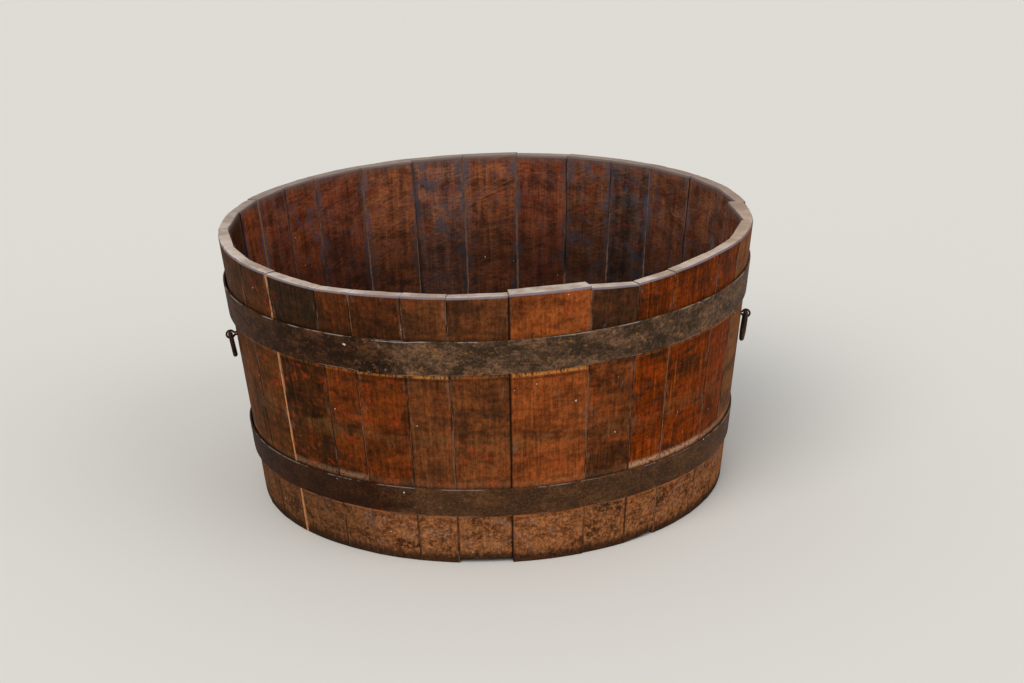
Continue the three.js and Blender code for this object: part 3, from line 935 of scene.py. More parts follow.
@dataclass(frozen=True)
class SandedEnd:
    """End grain sanded pale on the rim, checked by fine radial cracks."""

    rays: Noise = Noise((420, 60), 4, 0.65)
    cloud: Noise = Noise((22, 22, 22), 4, 0.6)
    checks: Noise = Noise((300, 22), 2)

    grey: str = "a8917f"
    pale: Coat = Coat("dccbbb", 0.36, 0.64)
    ray: Coat = Coat("a8917f", 0.60, 0.36, 0.45)
    crack: Coat = Coat("6d594b", 0.64, 0.72, 0.7)
    seam: Coat = Coat("6e5848", 1.2 * MM, 0.3 * MM, 0.45)
    # warmer tan towards the right (+X) of the rim
    warmer_to_right: Coat = Coat("b48c68", 150 * MM, 330 * MM, 0.35)
    # greyer towards the back (+Y) of the rim
    greyer_to_back: Coat = Coat("857064", -200 * MM, 240 * MM, 0.80)
    foot: Coat = Coat("3a281c", 30 * MM, 10 * MM)
    crack_relief: Ramp = Ramp(0.62, 0.72)

    def make(self) -> bpy.types.Material:
        """Builds the end grain.

        Returns:
            The material: its map runs across the stave and through its thickness.
        """
        bench = NodeBench("sanded_end")
        grain = bench.pair("GrainMap")[0]
        place, x, y, _ = bench.place()
        rays, checks = bench.noise(grain, self.rays), bench.noise(grain, self.checks)
        bench.colour = seen(self.grey)
        bench.lay(self.pale, bench.noise(place, self.cloud))
        bench.lay(self.ray, rays)
        bench.lay(self.crack, checks)
        bench.lay(self.seam, bench.pair("EdgeMap")[1])
        # the rim turns warmer towards the right of the tub
        bench.lay(self.warmer_to_right, x)
        # the rim turns greyer towards the back of the tub
        bench.lay(self.greyer_to_back, y)
        bench.lay(self.foot, bench.pair("EndMap")[2])
        relief = bench.total((rays, 1), (bench.ease(checks, self.crack_relief), -1))
        return bench.surface(0.78, relief, 0.5 * MM, Specular_IOR_Level=0.3)


@dataclass(frozen=True)
class BareBoard:
    """Darkened bare boards of the head, grain along X, each board with a figure of its own.

    first_joint brings the change of figure onto the joints, and apart is how far it jumps there.
    """

    pitch: float
    dark: str = "3d2415"
    light: str = "6d4223"

    fine: Noise = Noise((14, 500, 500), 4, 0.65)
    figure: Noise = Noise((5, 70, 70), 4, warp=0.6)
    dirt: Noise = Noise((9, 9, 9), 6, 0.7)
    pits: Coat = Coat("a0a0a0", 0.7, 0.3, 0.9)
    dirty: Coat = Coat("241811", 0.44, 0.66, 0.6)
    first_joint: float = 10.5
    apart: float = 3.7

    def make(self) -> bpy.types.Material:
        """Builds the boards' wood.

        Returns:
            The material, on object coordinates, of which each board reads a stretch of its own.
        """
        bench = NodeBench("bare_board")
        place, _, y, _ = bench.place()
        boards = bench.total((bench.step("DIVIDE", y, self.pitch), 1), (self.first_joint, 1))
        board = bench.step("FLOOR", boards)
        shifted = bench.put("VectorMath", {"operation": "ADD"})
        bench.feed(shifted.inputs[0], place)
        shift = bench.put("CombineXYZ", X=bench.product(board, self.apart))
        bench.feed(shifted.inputs[1], shift.outputs[0])
        fine, figure = (bench.noise(shifted.outputs[0], look) for look in (self.fine, self.figure))
        bench.colour = seen(self.dark)
        bench.lay(Coat(self.light, 0.36, 0.66), figure)
        bench.lay(self.pits, fine, kind="MULTIPLY")
        bench.lay(self.dirty, bench.noise(place, self.dirt))
        relief = bench.total((fine, 0.6), (figure, 0.4))
        return bench.surface(0.74, relief, 0.9 * MM, Specular_IOR_Level=0.3)


@dataclass(frozen=True)
class AgedIron:
    """Wrought strip or bar, dark and mottled with rust, rubbed bright where it is touched, with a
    painted highlight along the strip's edges.
    """

    name: str
    body: str
    dark: str
    rust: str
    # tone of the strip's edges: rubbed wear together with a painted highlight
    rubbed: str
    rusty: float
    flecks: float
    edge_light: float
    gloss: float = 0.52

    broad: Noise = Noise((24, 24, 40), 8, 0.75, 0.4)
    scale: Noise = Noise((150, 150, 170), 5, 0.7)
    grit: Noise = Noise((330, 330, 360), 4, 0.7)
    rolled: Noise = Noise((260, 22), 3)
    spots: Noise = Noise((85, 85, 140), 5, 0.7)
    smears: Noise = Noise((95, 80), 6, 0.7)
    breaks: Noise = Noise((24, 24, 24), 7, 0.7)
    specks: Noise = Noise((100, 100, 120), 1)
    ochre: Coat = Coat("94632c", 0.58, 0.66)
    pits: Coat = Coat("1b1611", 0.54, 0.38, 0.45)
    glints: Coat = Coat("a08c78", 0.55, 0.68, 0.14)
    # painted shade: darkens the irons towards -X, the tub's left side
    left_side_shade: Coat = Coat("b09880", -20 * MM, -100 * MM)
    lap_smear: Coat = Coat("8a7468", 0.55, 0.66, 0.55)
    broken: Ramp = Ramp(0.46, 0.56)
    speck: Coat = Coat("cfc6ba", 0.80, 0.815)

    def make(self) -> bpy.types.Material:
        """Builds the iron.

        Returns:
            The material, whose rubbed and painted edge highlight follows the strip's own edge map.
        """
        bench = NodeBench(self.name)
        place, x, _, _ = bench.place()
        grain = bench.pair("GrainMap")[0]
        _, edge, lapped = bench.pair("EdgeMap")
        broad, scale, grit = (bench.noise(place, look) for look in (self.broad, self.scale, self.grit))
        bench.colour = seen(self.dark)
        bench.lay(Coat(self.body, 0.40, 0.60), broad)
        bench.lay(Coat(self.dark, 0.56, 0.40, 0.7), scale)
        bench.lay(Coat(self.rust, 0.53, 0.66, self.rusty), bench.total((broad, 0.45), (scale, 0.55)))
        bench.lay(replace(self.ochre, most=self.flecks), bench.noise(place, self.spots))
        bench.lay(self.pits, grit)
        bench.lay(self.glints, grit)
        # painted shade, multiplied in towards -X with a ragged edge, on the hoops, rivets and left ring
        bench.lay(self.left_side_shade, bench.total((x, 1), (broad, 120 * MM)), kind="MULTIPLY")
        bench.lay(self.lap_smear, bench.noise(grain, self.smears), lapped)
        broken = bench.ease(bench.noise(place, self.breaks), self.broken)
        # painted highlight along the strip's edges, also standing for rubbed wear there; edge_light sets
        # how strong
        bright = bench.lay(Coat(self.rubbed, 1.5 * MM, 0.5 * MM, self.edge_light), edge, broken)
        bench.lay(self.speck, bench.noise(place, self.specks))
        rough = bench.ease(scale, Ramp(0.3, 0.7, self.gloss, self.gloss + 0.22))
        rough = bench.total((rough, 1), (bright, -0.12))
        relief = bench.total((scale, 0.6), (grit, 0.3), (bench.noise(grain, self.rolled), 0.3))
        return bench.surface(rough, relief, 0.9 * MM, Metallic=0.03, Specular_IOR_Level=0.06)


class Iron(Enum):
    """The tub's irons, by the pieces that are forged from them."""

    UPPER_HOOP = AgedIron("upper_hoop_iron", body="765640", dark="38291b", rust="8a5c34",
                          rubbed="a29c94", rusty=0.6, flecks=0.8, edge_light=0.55)
    LOWER_HOOP = AgedIron("lower_hoop_iron", body="603e24", dark="422a18", rust="6c4426",
                          rubbed="88847f", rusty=0.4, flecks=0.1, edge_light=0.55)
    RIVET = AgedIron("rivet_iron", body="574a3e", dark="33291f", rust="6a4a2e",
                     rubbed="a29c94", rusty=0.5, flecks=0.3, edge_light=0.0, gloss=0.42)
    RING = AgedIron("ring_iron", body="5c4434", dark="33271f", rust="6e482c",
                    rubbed="8f8a86", rusty=0.6, flecks=0.3, edge_light=0.0, gloss=0.38)


# ------------------------------------------------------------------------------------ the tub


@dataclass(frozen=True)
class Cone:
    """The flared cone on which the staves' outer faces lie."""

    height: float = 385 * MM
    rim_radius: float = 381 * MM
    foot_radius: float = 338 * MM

    def radius(self, z: Array | float) -> Array | float:
        """Gives the cone's radius at a height."""
        return blend(self.foot_radius, self.rim_radius, z / self.height)

    def frames(self, azimuth: Array, z: Array) -> tuple[Array, Array, Array, Array]:
        """Gives the frames that stand on the cone.

        Args:
            azimuth: degrees, as an array.
            z: heights, as an array of one shape with it.

        Returns:
            The places, and the unit vectors along the wall, up its slope and out of it.
        """
        slope = (self.rim_radius - self.foot_radius) / self.height
        a = np.radians(azimuth)
        flat = np.zeros_like(a)
        along = np.stack([-np.sin(a), np.cos(a), flat], -1)
        out = np.stack([np.cos(a), np.sin(a), flat - slope], -1) / np.hypot(1, slope)
        up = np.cross(out, along)
        radius = self.radius(z)
        place = np.stack([radius * np.cos(a), radius * np.sin(a), z + flat], -1)
        return place, along, up, out


@dataclass(frozen=True)
class Stave:
    """One stave. Pairs are for its first and last edge; widths are shares of the way round.

    thick is the wall, inset how far the outer face lies inside the cone, rim and foot how far
    the ends stand above the level, all in millimetres. filled is what the first seam holds
    outside and in; worn, dusty, sawn and bloomed say how much of each mark it bears.
    """

    width: float
    outside: Tone
    inside: Tone
    filled: tuple[float, float] = (0.4, 0.4)
    thick: tuple[float, float] = (16, 16)
    inset: tuple[float, float] = (0.8, 0.8)
    rim: tuple[float, float] = (0, 0)
    foot: tuple[float, float] = (0, 0)
    worn: float = 0.3
    dusty: float = 0.1
    sawn: float = 0.3
    bloomed: float = 0.2


T = Tone
STAVES = [
    Stave(80, T.OLIVE, T.WALNUT, (0.4, 0.4), thick=(15, 16), rim=(-1, 0)),
    Stave(88, T.UMBER, T.WALNUT, (0.5, 0.5), thick=(16, 15)),
    Stave(92, T.RUSSET, T.WALNUT, (0.4, 0.5), inset=(1.5, 0.5), bloomed=0.4),
    Stave(77, T.UMBER, T.INK, (0.3, 0.7), thick=(15, 17), bloomed=0.6),
    Stave(81, T.RUSSET, T.WALNUT, (0.5, 0.5), rim=(0, 1), bloomed=0.7, sawn=0.5),
    Stave(87, T.CHESTNUT, T.CEDAR, (0.6, 0.5), thick=(17, 16), inset=(0.5, 1.2)),
    Stave(90, T.UMBER, T.ROSEWOOD, (0.3, 0.9), thick=(16, 17), rim=(1, 0), sawn=1.0, bloomed=0.35),
    Stave(88, T.RUSSET, T.PLUM, (0.7, 0.9), thick=(16, 15), sawn=0.6, bloomed=0.8),
    Stave(91, T.CHESTNUT, T.ROSEWOOD, (0.4, 0.6), thick=(22, 16), inset=(0.4, 1), sawn=0.9),
    Stave(94, T.UMBER, T.CEDAR, (0.5, 0.6), thick=(16, 17), sawn=0.8),
    Stave(70, T.RUSSET, T.MAHOGANY, (0.6, 0.5), inset=(1.5, 1), bloomed=0.6),
    Stave(79, T.RUSSET, T.CEDAR, (0.3, 0.3), thick=(17, 18), rim=(0, 1)),
    Stave(69, T.UMBER, T.MAHOGANY, (0.6, 1.0), thick=(16, 16)),
    Stave(93, T.CHESTNUT, T.UMBER, (0.5, 0.4), thick=(15, 15), inset=(0.5, 1.5)),
    Stave(106, T.OLIVE, T.UMBER, (0.4, 0.4), thick=(14, 15), inset=(2, 1.5), dusty=0.3),
    Stave(70, T.OLIVE, T.RUSSET, (0.5, 0.4), rim=(1, 0), worn=0.2),
    Stave(69, T.OLIVE, T.RUSSET, (0.4, 0.5), thick=(16, 17), worn=0.2),
    Stave(93, T.UMBER, T.CHESTNUT, (1.0, 0.5), rim=(-1, -4), inset=(1, 1.5), worn=0.2, dusty=0.3),
    Stave(53, T.RUSSET, T.RUSSET, (0.5, 0.3), rim=(-4, -2), inset=(1.5, 1), worn=0.4, dusty=0.4),
    Stave(73, T.RUSSET, T.UMBER, (0.6, 0.5), rim=(-2, 0), worn=0.9),
    Stave(60, T.CHESTNUT, T.RUSSET, (0.45, 0.5), thick=(17, 16), worn=1.0),
    Stave(80, T.CHESTNUT, T.CHESTNUT, (0.6, 0.5), inset=(1, 3), rim=(-0.5, 0), foot=(5.5, 5.5),
          worn=0.3),
    Stave(108, T.AMBER, T.RUSSET, (0.0, 0.3), thick=(23, 22), inset=(0, 0), rim=(2.5, 3),
          worn=0.9),
    Stave(71, T.SLATE, T.UMBER, (0.7, 0.5), thick=(18, 16), inset=(1.5, 1), rim=(0, -7),
          worn=0.1),
    Stave(60, T.EMBER, T.RUSSET, (0.5, 0.5), rim=(-6, -3), foot=(0, 5), worn=0.2, dusty=1.0),
    Stave(96, T.EMBER, T.UMBER, (0.62, 0.4), thick=(16, 15), rim=(-2, 1.5), worn=0.2, dusty=1.0),
    Stave(67, T.EMBER, T.RUSSET, (0.6, 0.5), thick=(15, 16), rim=(1, 0), dusty=0.6),
    Stave(100, T.TAWNY, T.WALNUT, (0.6, 0.5), thick=(16, 17), inset=(0.5, 0), dusty=0.3),
    Stave(106, T.OLIVE, T.WALNUT, (0.4, 0.4), thick=(14, 23), inset=(0, 5)),
]


@dataclass
class CooperedWall:
    """The ring of staves, with the head's groove and the bevel at the foot cut inside it.

    Columns and rows are a pitch apart, and closer at the edges. The ends' own heights count below
    uneven_foot and above uneven_rim. board_length and inner_shift keep the figures of the staves
    and of their two faces apart.
    """

    cone: Cone = Cone()
    first_seam: float = 5.6
    rim_tilt: float = 0.25
    rim_arris: tuple[float, float] = (1.1 * MM, 2.2 * MM)
    soft_edge: tuple[float, float] = (0.6 * MM, 1.6 * MM)
    column_pitch: float = 7 * MM
    row_pitch: float = 9 * MM
    close_columns: tuple[float, ...] = (0, 0.5 * MM, 1.1 * MM, 2.2 * MM, 4.5 * MM)
    close_rows: tuple[float, ...] = (0, 0.4 * MM, 1.0 * MM, 2.2 * MM, 4 * MM)
    groove_radius: float = 331.74 * MM
    groove_height: float = 38 * MM
    groove_half: float = 2.8 * MM
    groove_slope: float = 0.2955
    groove_rows: tuple[float, ...] = (-9.5, -5.2, -4.2, -2.8, 0, 2.8, 4.2, 5.2, 9.5)
    chime_radius: float = 327 * MM
    uneven_foot: float = 20 * MM
    uneven_rim: float = 345 * MM
    dents: float = 0.28 * MM
    hollows: float = 0.3 * MM
    nicks: int = 3
    nick_drop: float = 2.2 * MM
    board_length: float = 0.37
    inner_shift: float = 19.3
    dent_seed: int = 100
    hollow_seed: int = 200
    nick_seed: int = 300
    inner_seed: int = 50

    def seams(self) -> Array:
        """Gives the azimuth of each seam, with the first again at the end."""
        widths = np.array([stave.width for stave in STAVES])
        return self.first_seam + 360 * np.concatenate([[0], np.cumsum(widths)]) / widths.sum()

    def levels(self) -> Array:
        """Gives the rows' heights, close at both ends and at the groove, as a column."""
        plain = steps(self.cone.height, self.row_pitch, self.close_rows) * self.cone.height
        plain = plain[np.abs(plain - self.groove_height) > 7 * MM]
        groove = self.groove_height + np.array(self.groove_rows) * MM
        return np.sort(np.concatenate([plain, groove]))[:, None]

    def sheets(self, number: int) -> list[Sheet]:
        """Works out one stave.

        A point of the outer face lies on the cone, less the stave's inset and its rounded
        edges. The inner face is a straight line between the wall's thicknesses at the edges.

        Args:
            number: the stave's place in the row, from 0.

        Returns:
            Its six surfaces.
        """
        stave = STAVES[number]
        first, last = self.seams()[number : number + 2]
        wide = np.radians(last - first) * self.cone.rim_radius
        share = steps(wide, self.column_pitch, self.close_columns)[None]
        level = self.levels()
        azimuth = blend(first, last, share)
        tilt = np.tan(np.radians(self.rim_tilt)) * self.cone.rim_radius
        rim_error = blend(*stave.rim, share) * MM + 0.25 * MM * ripple(number, share * 1.2)
        rim_error = rim_error + tilt * np.cos(np.radians(azimuth))
        foot_error = blend(*stave.foot, share) * MM
        low = np.clip(1 - level / self.uneven_foot, 0, 1)
        high = np.clip((level - self.uneven_rim) / (self.cone.height - self.uneven_rim), 0, 1)
        z = level + foot_error * low + rim_error * high

        below_rim = self.cone.height - level + 0 * share
        above_foot = level + 0 * share
        to_edge = np.minimum(share, 1 - share) * wide + 0 * level
        soft = self.edge_ease(to_edge, below_rim, above_foot, number, share)
        dents = self.dents * (1 + ripple(self.dent_seed + number, share * 1.1, level * 9))
        inset = blend(*stave.inset, share) * MM
        aside = CLEARANCE * (0.5 - share)
        radius = self.cone.radius(z) - inset - soft - dents * smooth(to_edge / (6 * MM))
        outer = self.points(radius, azimuth, z, aside)

        inner_radius = self.cone.radius(z) - inset - blend(*stave.thick, share) * MM
        corners = (part[:, [0, -1]] for part in (inner_radius, azimuth, z, aside))
        edges = self.points(*corners)
        inner = blend(edges[:, :1], edges[:, 1:], share[..., None])
        inner[..., 2] = z
        hollow = self.hollows * (1 + ripple(self.hollow_seed + number, share, level * 8))
        hollow = hollow * smooth(to_edge / (8 * MM))
        soft = self.edge_ease(to_edge, below_rim, 1.0, number + self.inner_seed, share)
        inner = self.relieved(inner, hollow + 0.7 * soft)

        offset = self.board_length * number
        grain = np.stack([share * wide + offset + 0 * level, z + 0 * share], -1)
        ends = np.stack([below_rim, above_foot], -1)
        faces = (
            (outer, 0.0, stave.outside.value, (stave.worn, stave.dusty)),
            (inner, self.inner_shift, stave.inside.value, (stave.sawn, stave.bloomed)),
        )
        front, back = (
            Sheet(points, grain + shift, self.edge_map(number, to_edge, share, side), ends, side,
                  seen(tone.deep), seen(tone.warm), (tone.patches, *marks))
            for side, (points, shift, tone, marks) in enumerate(faces)
        )
        return slab(front, back, end_slot=2)

    def edge_ease(self, to_edge: Array, below_rim: Array, above_foot: Array | float, seed: int,
                  share: Array) -> Array:
        """Gives the depth worn off near a stave's edges and ends, and the nicks in its rim.

        Each term is a depth times the square of one less the distance over its reach.

        Args:
            to_edge: distance to the nearer seam.
            below_rim: distance below the rim.
            above_foot: distance above the foot.
            seed: picks the nicks.
            share: share of the way across.

        Returns:
            The depth at each point.
        """
        depth, reach = self.soft_edge
        arris, drop = self.rim_arris
        worn = depth * np.clip(1 - to_edge / reach, 0, 1) ** 2
        worn = worn + arris * np.clip(1 - below_rim / drop, 0, 1) ** 1.6
        worn = worn + 0.7 * MM * np.clip(1 - above_foot / (1.5 * MM), 0, 1) ** 2
        rng = np.random.default_rng(self.nick_seed + seed)
        near_rim = np.exp(-((below_rim / self.nick_drop) ** 2))
        for _ in range(self.nicks):
            at, wide = rng.uniform(0.05, 0.95), rng.uniform(0.015, 0.05)
            deep = rng.uniform(0.2, 1.3) * MM
            worn = worn + deep * np.exp(-(((share - at) / wide) ** 2)) * near_rim
        return worn

    def edge_map(self, number: int, to_edge: Array, share: Array, side: int) -> Array:
        """Pairs the distance to the nearer seam with what that seam holds.

        Args:
            number: the stave's place in the row.
            to_edge: distance to the nearer seam.
            share: share of the way across.
            side: 0 outside and 1 inside.

        Returns:
            Rows by columns by 2.
        """
        held = STAVES[number].filled[side], STAVES[(number + 1) % len(STAVES)].filled[side]
        return np.stack([to_edge, np.where(share < 0.5, *held) + 0 * to_edge], -1)

    def points(self, radius: Array, azimuth: Array, z: Array, aside: Array) -> Array:
        """Gives points at a radius, azimuth and height, moved sideways along the tangent."""
        a = np.radians(azimuth)
        x = radius * np.cos(a) - aside * np.sin(a)
        y = radius * np.sin(a) + aside * np.cos(a)
        return np.stack([x, y, z + 0 * x], -1)

    def relieved(self, inner: Array, worn: Array) -> Array:
        """Cuts the groove and the foot's bevel out of an inner face, and wears it.

        The radius becomes the greatest of the face's own, the groove's and the bevel's.

        Args:
            inner: points of the plain face.
            worn: depth worn off it.

        Returns:
            The points moved outwards.
        """
        z = inner[..., 2]
        radius = np.hypot(inner[..., 0], inner[..., 1])
        off = np.abs(z - self.groove_height) - self.groove_half
        cut = self.groove_radius - np.clip(off, 0, None) / self.groove_slope
        groove = np.where(off < 3 * MM, cut, 0)
        bevel = self.chime_radius - z
        target = np.maximum.reduce([radius + worn, groove, bevel])
        moved = inner.copy()
        moved[..., :2] *= (target / radius)[..., None]
        return moved

    def build(self, finishes: list[bpy.types.Material], slots: dict[str, str]) -> None:
        """Makes the staves and puts each in the place of its node.

        Args:
            finishes: outside, inside and end grain.
            slots: the material slot of each node.
        """
        for number in range(len(STAVES)):
            node = f"stave_{number + 1:02d}"
            piece = join_sheets(f"{node}_worn", self.sheets(number), finishes)
            settle(piece, "tub", slots[node], node)


def settle(piece: bpy.types.Object, body: str, slot: str, *nodes: str) -> None:
    """Makes a piece ride on a body, in the place of nodes, and reports it.

    Args:
        piece: the finished piece.
        body: the body that it moves with.
        slot: the material slot that its finish belongs to; not used.
        *nodes: the nodes that it stands for.
    """
    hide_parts(*nodes)
    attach(piece, body)
    log.info("%s: %d faces", piece.name, len(piece.data.polygons))


@dataclass
class BoardedHead:
    """The five boards that close the tub's foot, with eased edges."""

    boards: int = 5
    ease: float = 0.9 * MM

    def build(self, frame: dict, finish: bpy.types.Material, peg: bpy.types.Material) -> None:
        """Eases a merged copy of each board, and gives the hidden dowels their wood.

        Args:
            frame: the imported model.
            finish: the boards' wood.
            peg: the dowels' wood.
        """
        for name, node in frame["nodes"].items():
            if name.startswith("dowel"):
                node.data.materials.clear()
                node.data.materials.append(peg)
        for number in range(1, self.boards + 1):
            node = f"head_board_{number:02d}"
            mesh = frame["nodes"][node].data.copy()
            mesh.materials.clear()
            mesh.materials.append(finish)
            work = bmesh.new()
            work.from_mesh(mesh)
            bmesh.ops.remove_doubles(work, verts=work.verts, dist=MERGE)
            bmesh.ops.dissolve_limit(work, angle_limit=np.radians(1), verts=work.verts, edges=work.edges)
            work.to_mesh(mesh)
            work.free()
            piece = bpy.data.objects.new(f"{node}_eased", mesh)
            bpy.context.scene.collection.objects.link(piece)
            bevel = piece.modifiers.new("eased", "BEVEL")
            bevel.width = self.ease
            bevel.segments = 2
            bevel.limit_method = "ANGLE"
            bevel.angle_limit = np.radians(30)
            settle(piece, "tub", "head_wood", node)


@dataclass
class RivetedHoop:
    """A flat strip bent round the cone, its lapped ends held by two rivets."""

    name: str
    level: Level
    width: float
    lap_from: float
    lap: float
    seed: int
    waver: float
    cone: Cone = Cone()
    thickness: float = 2.5 * MM
    fit: float = 0.5 * MM
    lap_step: float = 4.0
    arris: float = 0.7 * MM
    hammering: float = 0.16 * MM
    rows: int = 280
    rivets: tuple[tuple[float, float], ...] = ((2.3, 1 * MM), (6.6, -7 * MM))
    rivet_head: tuple[float, float] = (4.9 * MM, 2.0 * MM)
    rivet_foot: tuple[float, float] = (4 * MM, 1.6 * MM)
    rivet_shank: float = 2.5 * MM

    def middle(self, azimuth: Array) -> Array:
        """Gives the height of the strip's middle at an azimuth."""
        return self.level.at(azimuth, self.cone.radius(self.level.height))

    def edge(self, up: int) -> Level:
        """Gives the line of the strip's upper edge, for 1, or its lower one, for -1."""
        return replace(self.level, height=self.level.height + up * self.width / 2)

    def sheets(self) -> list[Sheet]:
        """Works out the strip: a place on the cone, up its slope by the width and off it by the layer.

        Returns:
            Its six surfaces.
        """
        along = np.linspace(0, 360 + self.lap, self.rows + 1)[:, None]
        azimuth = self.lap_from + along
        place, _, up, out = self.cone.frames(azimuth, self.middle(azimuth))
        share = steps(self.width, 4 * MM, (0, 0.25 * MM, 0.7 * MM, 1.6 * MM))[None]
        across = (share - 0.5) * self.width
        lift = self.fit + (self.thickness + CLEARANCE) * (1 - smooth((along - self.lap) / self.lap_step))
        to_edge = self.width / 2 - np.abs(across)
        corner = self.arris * np.clip(1 - to_edge / self.arris, 0, 1) ** 1.8
        east, north = np.cos(np.radians(azimuth)), np.sin(np.radians(azimuth))
        hammered = self.hammering * (1 + ripple(self.seed, 4 * east, 4 * north, across / (20 * MM)))
        wave = self.waver * ripple(self.seed + 1, 3 * east, 3 * north) * (2 * share - 1)
        height = (across + wave)[..., None]
        strip = place + height * up
        outer = strip + (lift + self.thickness - corner - hammered)[..., None] * out
        inner = strip + (lift + 0 * share)[..., None] * out

        length = np.radians(along) * self.cone.radius(self.level.height)
        grain = np.stack(np.broadcast_arrays(across, length), -1)
        lapped = smooth((self.lap + 1 - along) / 2)
        edge = np.stack([to_edge + 0 * along, lapped + 0 * share], -1)
        front = Sheet(outer, grain, edge, 0 * edge)
        back = Sheet(inner, grain, edge + [[[1.0, 0.0]]], 0 * edge)
        return slab(front, back, end_slot=0, layers=2)

    def rivet(self, azimuth: float, up_by: float, seed: int) -> Sheet:
        """Turns one rivet: peened foot, shank and hammered dome.

        Args:
            azimuth: where it stands.
            up_by: how far above the strip's middle.
            seed: picks the hammering.

        Returns:
            Its surface.
        """
        seat = self.fit + 2 * (self.thickness + CLEARANCE)
        angle = np.radians(np.linspace(0, 90, 8))
        head, rise = self.rivet_head
        foot, peened = self.rivet_foot
        dome = np.stack([head * np.cos(angle), seat + rise * np.sin(angle) ** 0.9], -1)
        shank = np.array([[0, self.fit], [foot, self.fit], [self.rivet_shank, self.fit + peened],
                          [self.rivet_shank, seat]])
        at = np.array(azimuth)
        place, along, up, out = self.cone.frames(at, self.middle(at) + up_by)
        return turned(np.concatenate([shank, dome]), place, (along, up, out), 28, 0.05, seed)

    def build(self, strip_finish: bpy.types.Material, rivet_finish: bpy.types.Material) -> None:
        """Makes the strip and its rivets.

        Args:
            strip_finish: the strip's iron.
            rivet_finish: the rivets' iron.
        """
        node = f"{self.name}_hoop"
        strip = join_sheets(f"{node}_forged", self.sheets(), [strip_finish], crease=50)
        settle(strip, "tub", "hoop_iron", node)
        for number, (along, up_by) in enumerate(self.rivets, start=1):
            sheet = self.rivet(self.lap_from + along, up_by, self.seed + number)
            rivet = join_sheets(f"{node}_rivet_{number:02d}_peened", [sheet], [rivet_finish], crease=50)
            settle(rivet, "tub", "rivet_iron", f"{node}_rivet_{number:02d}")


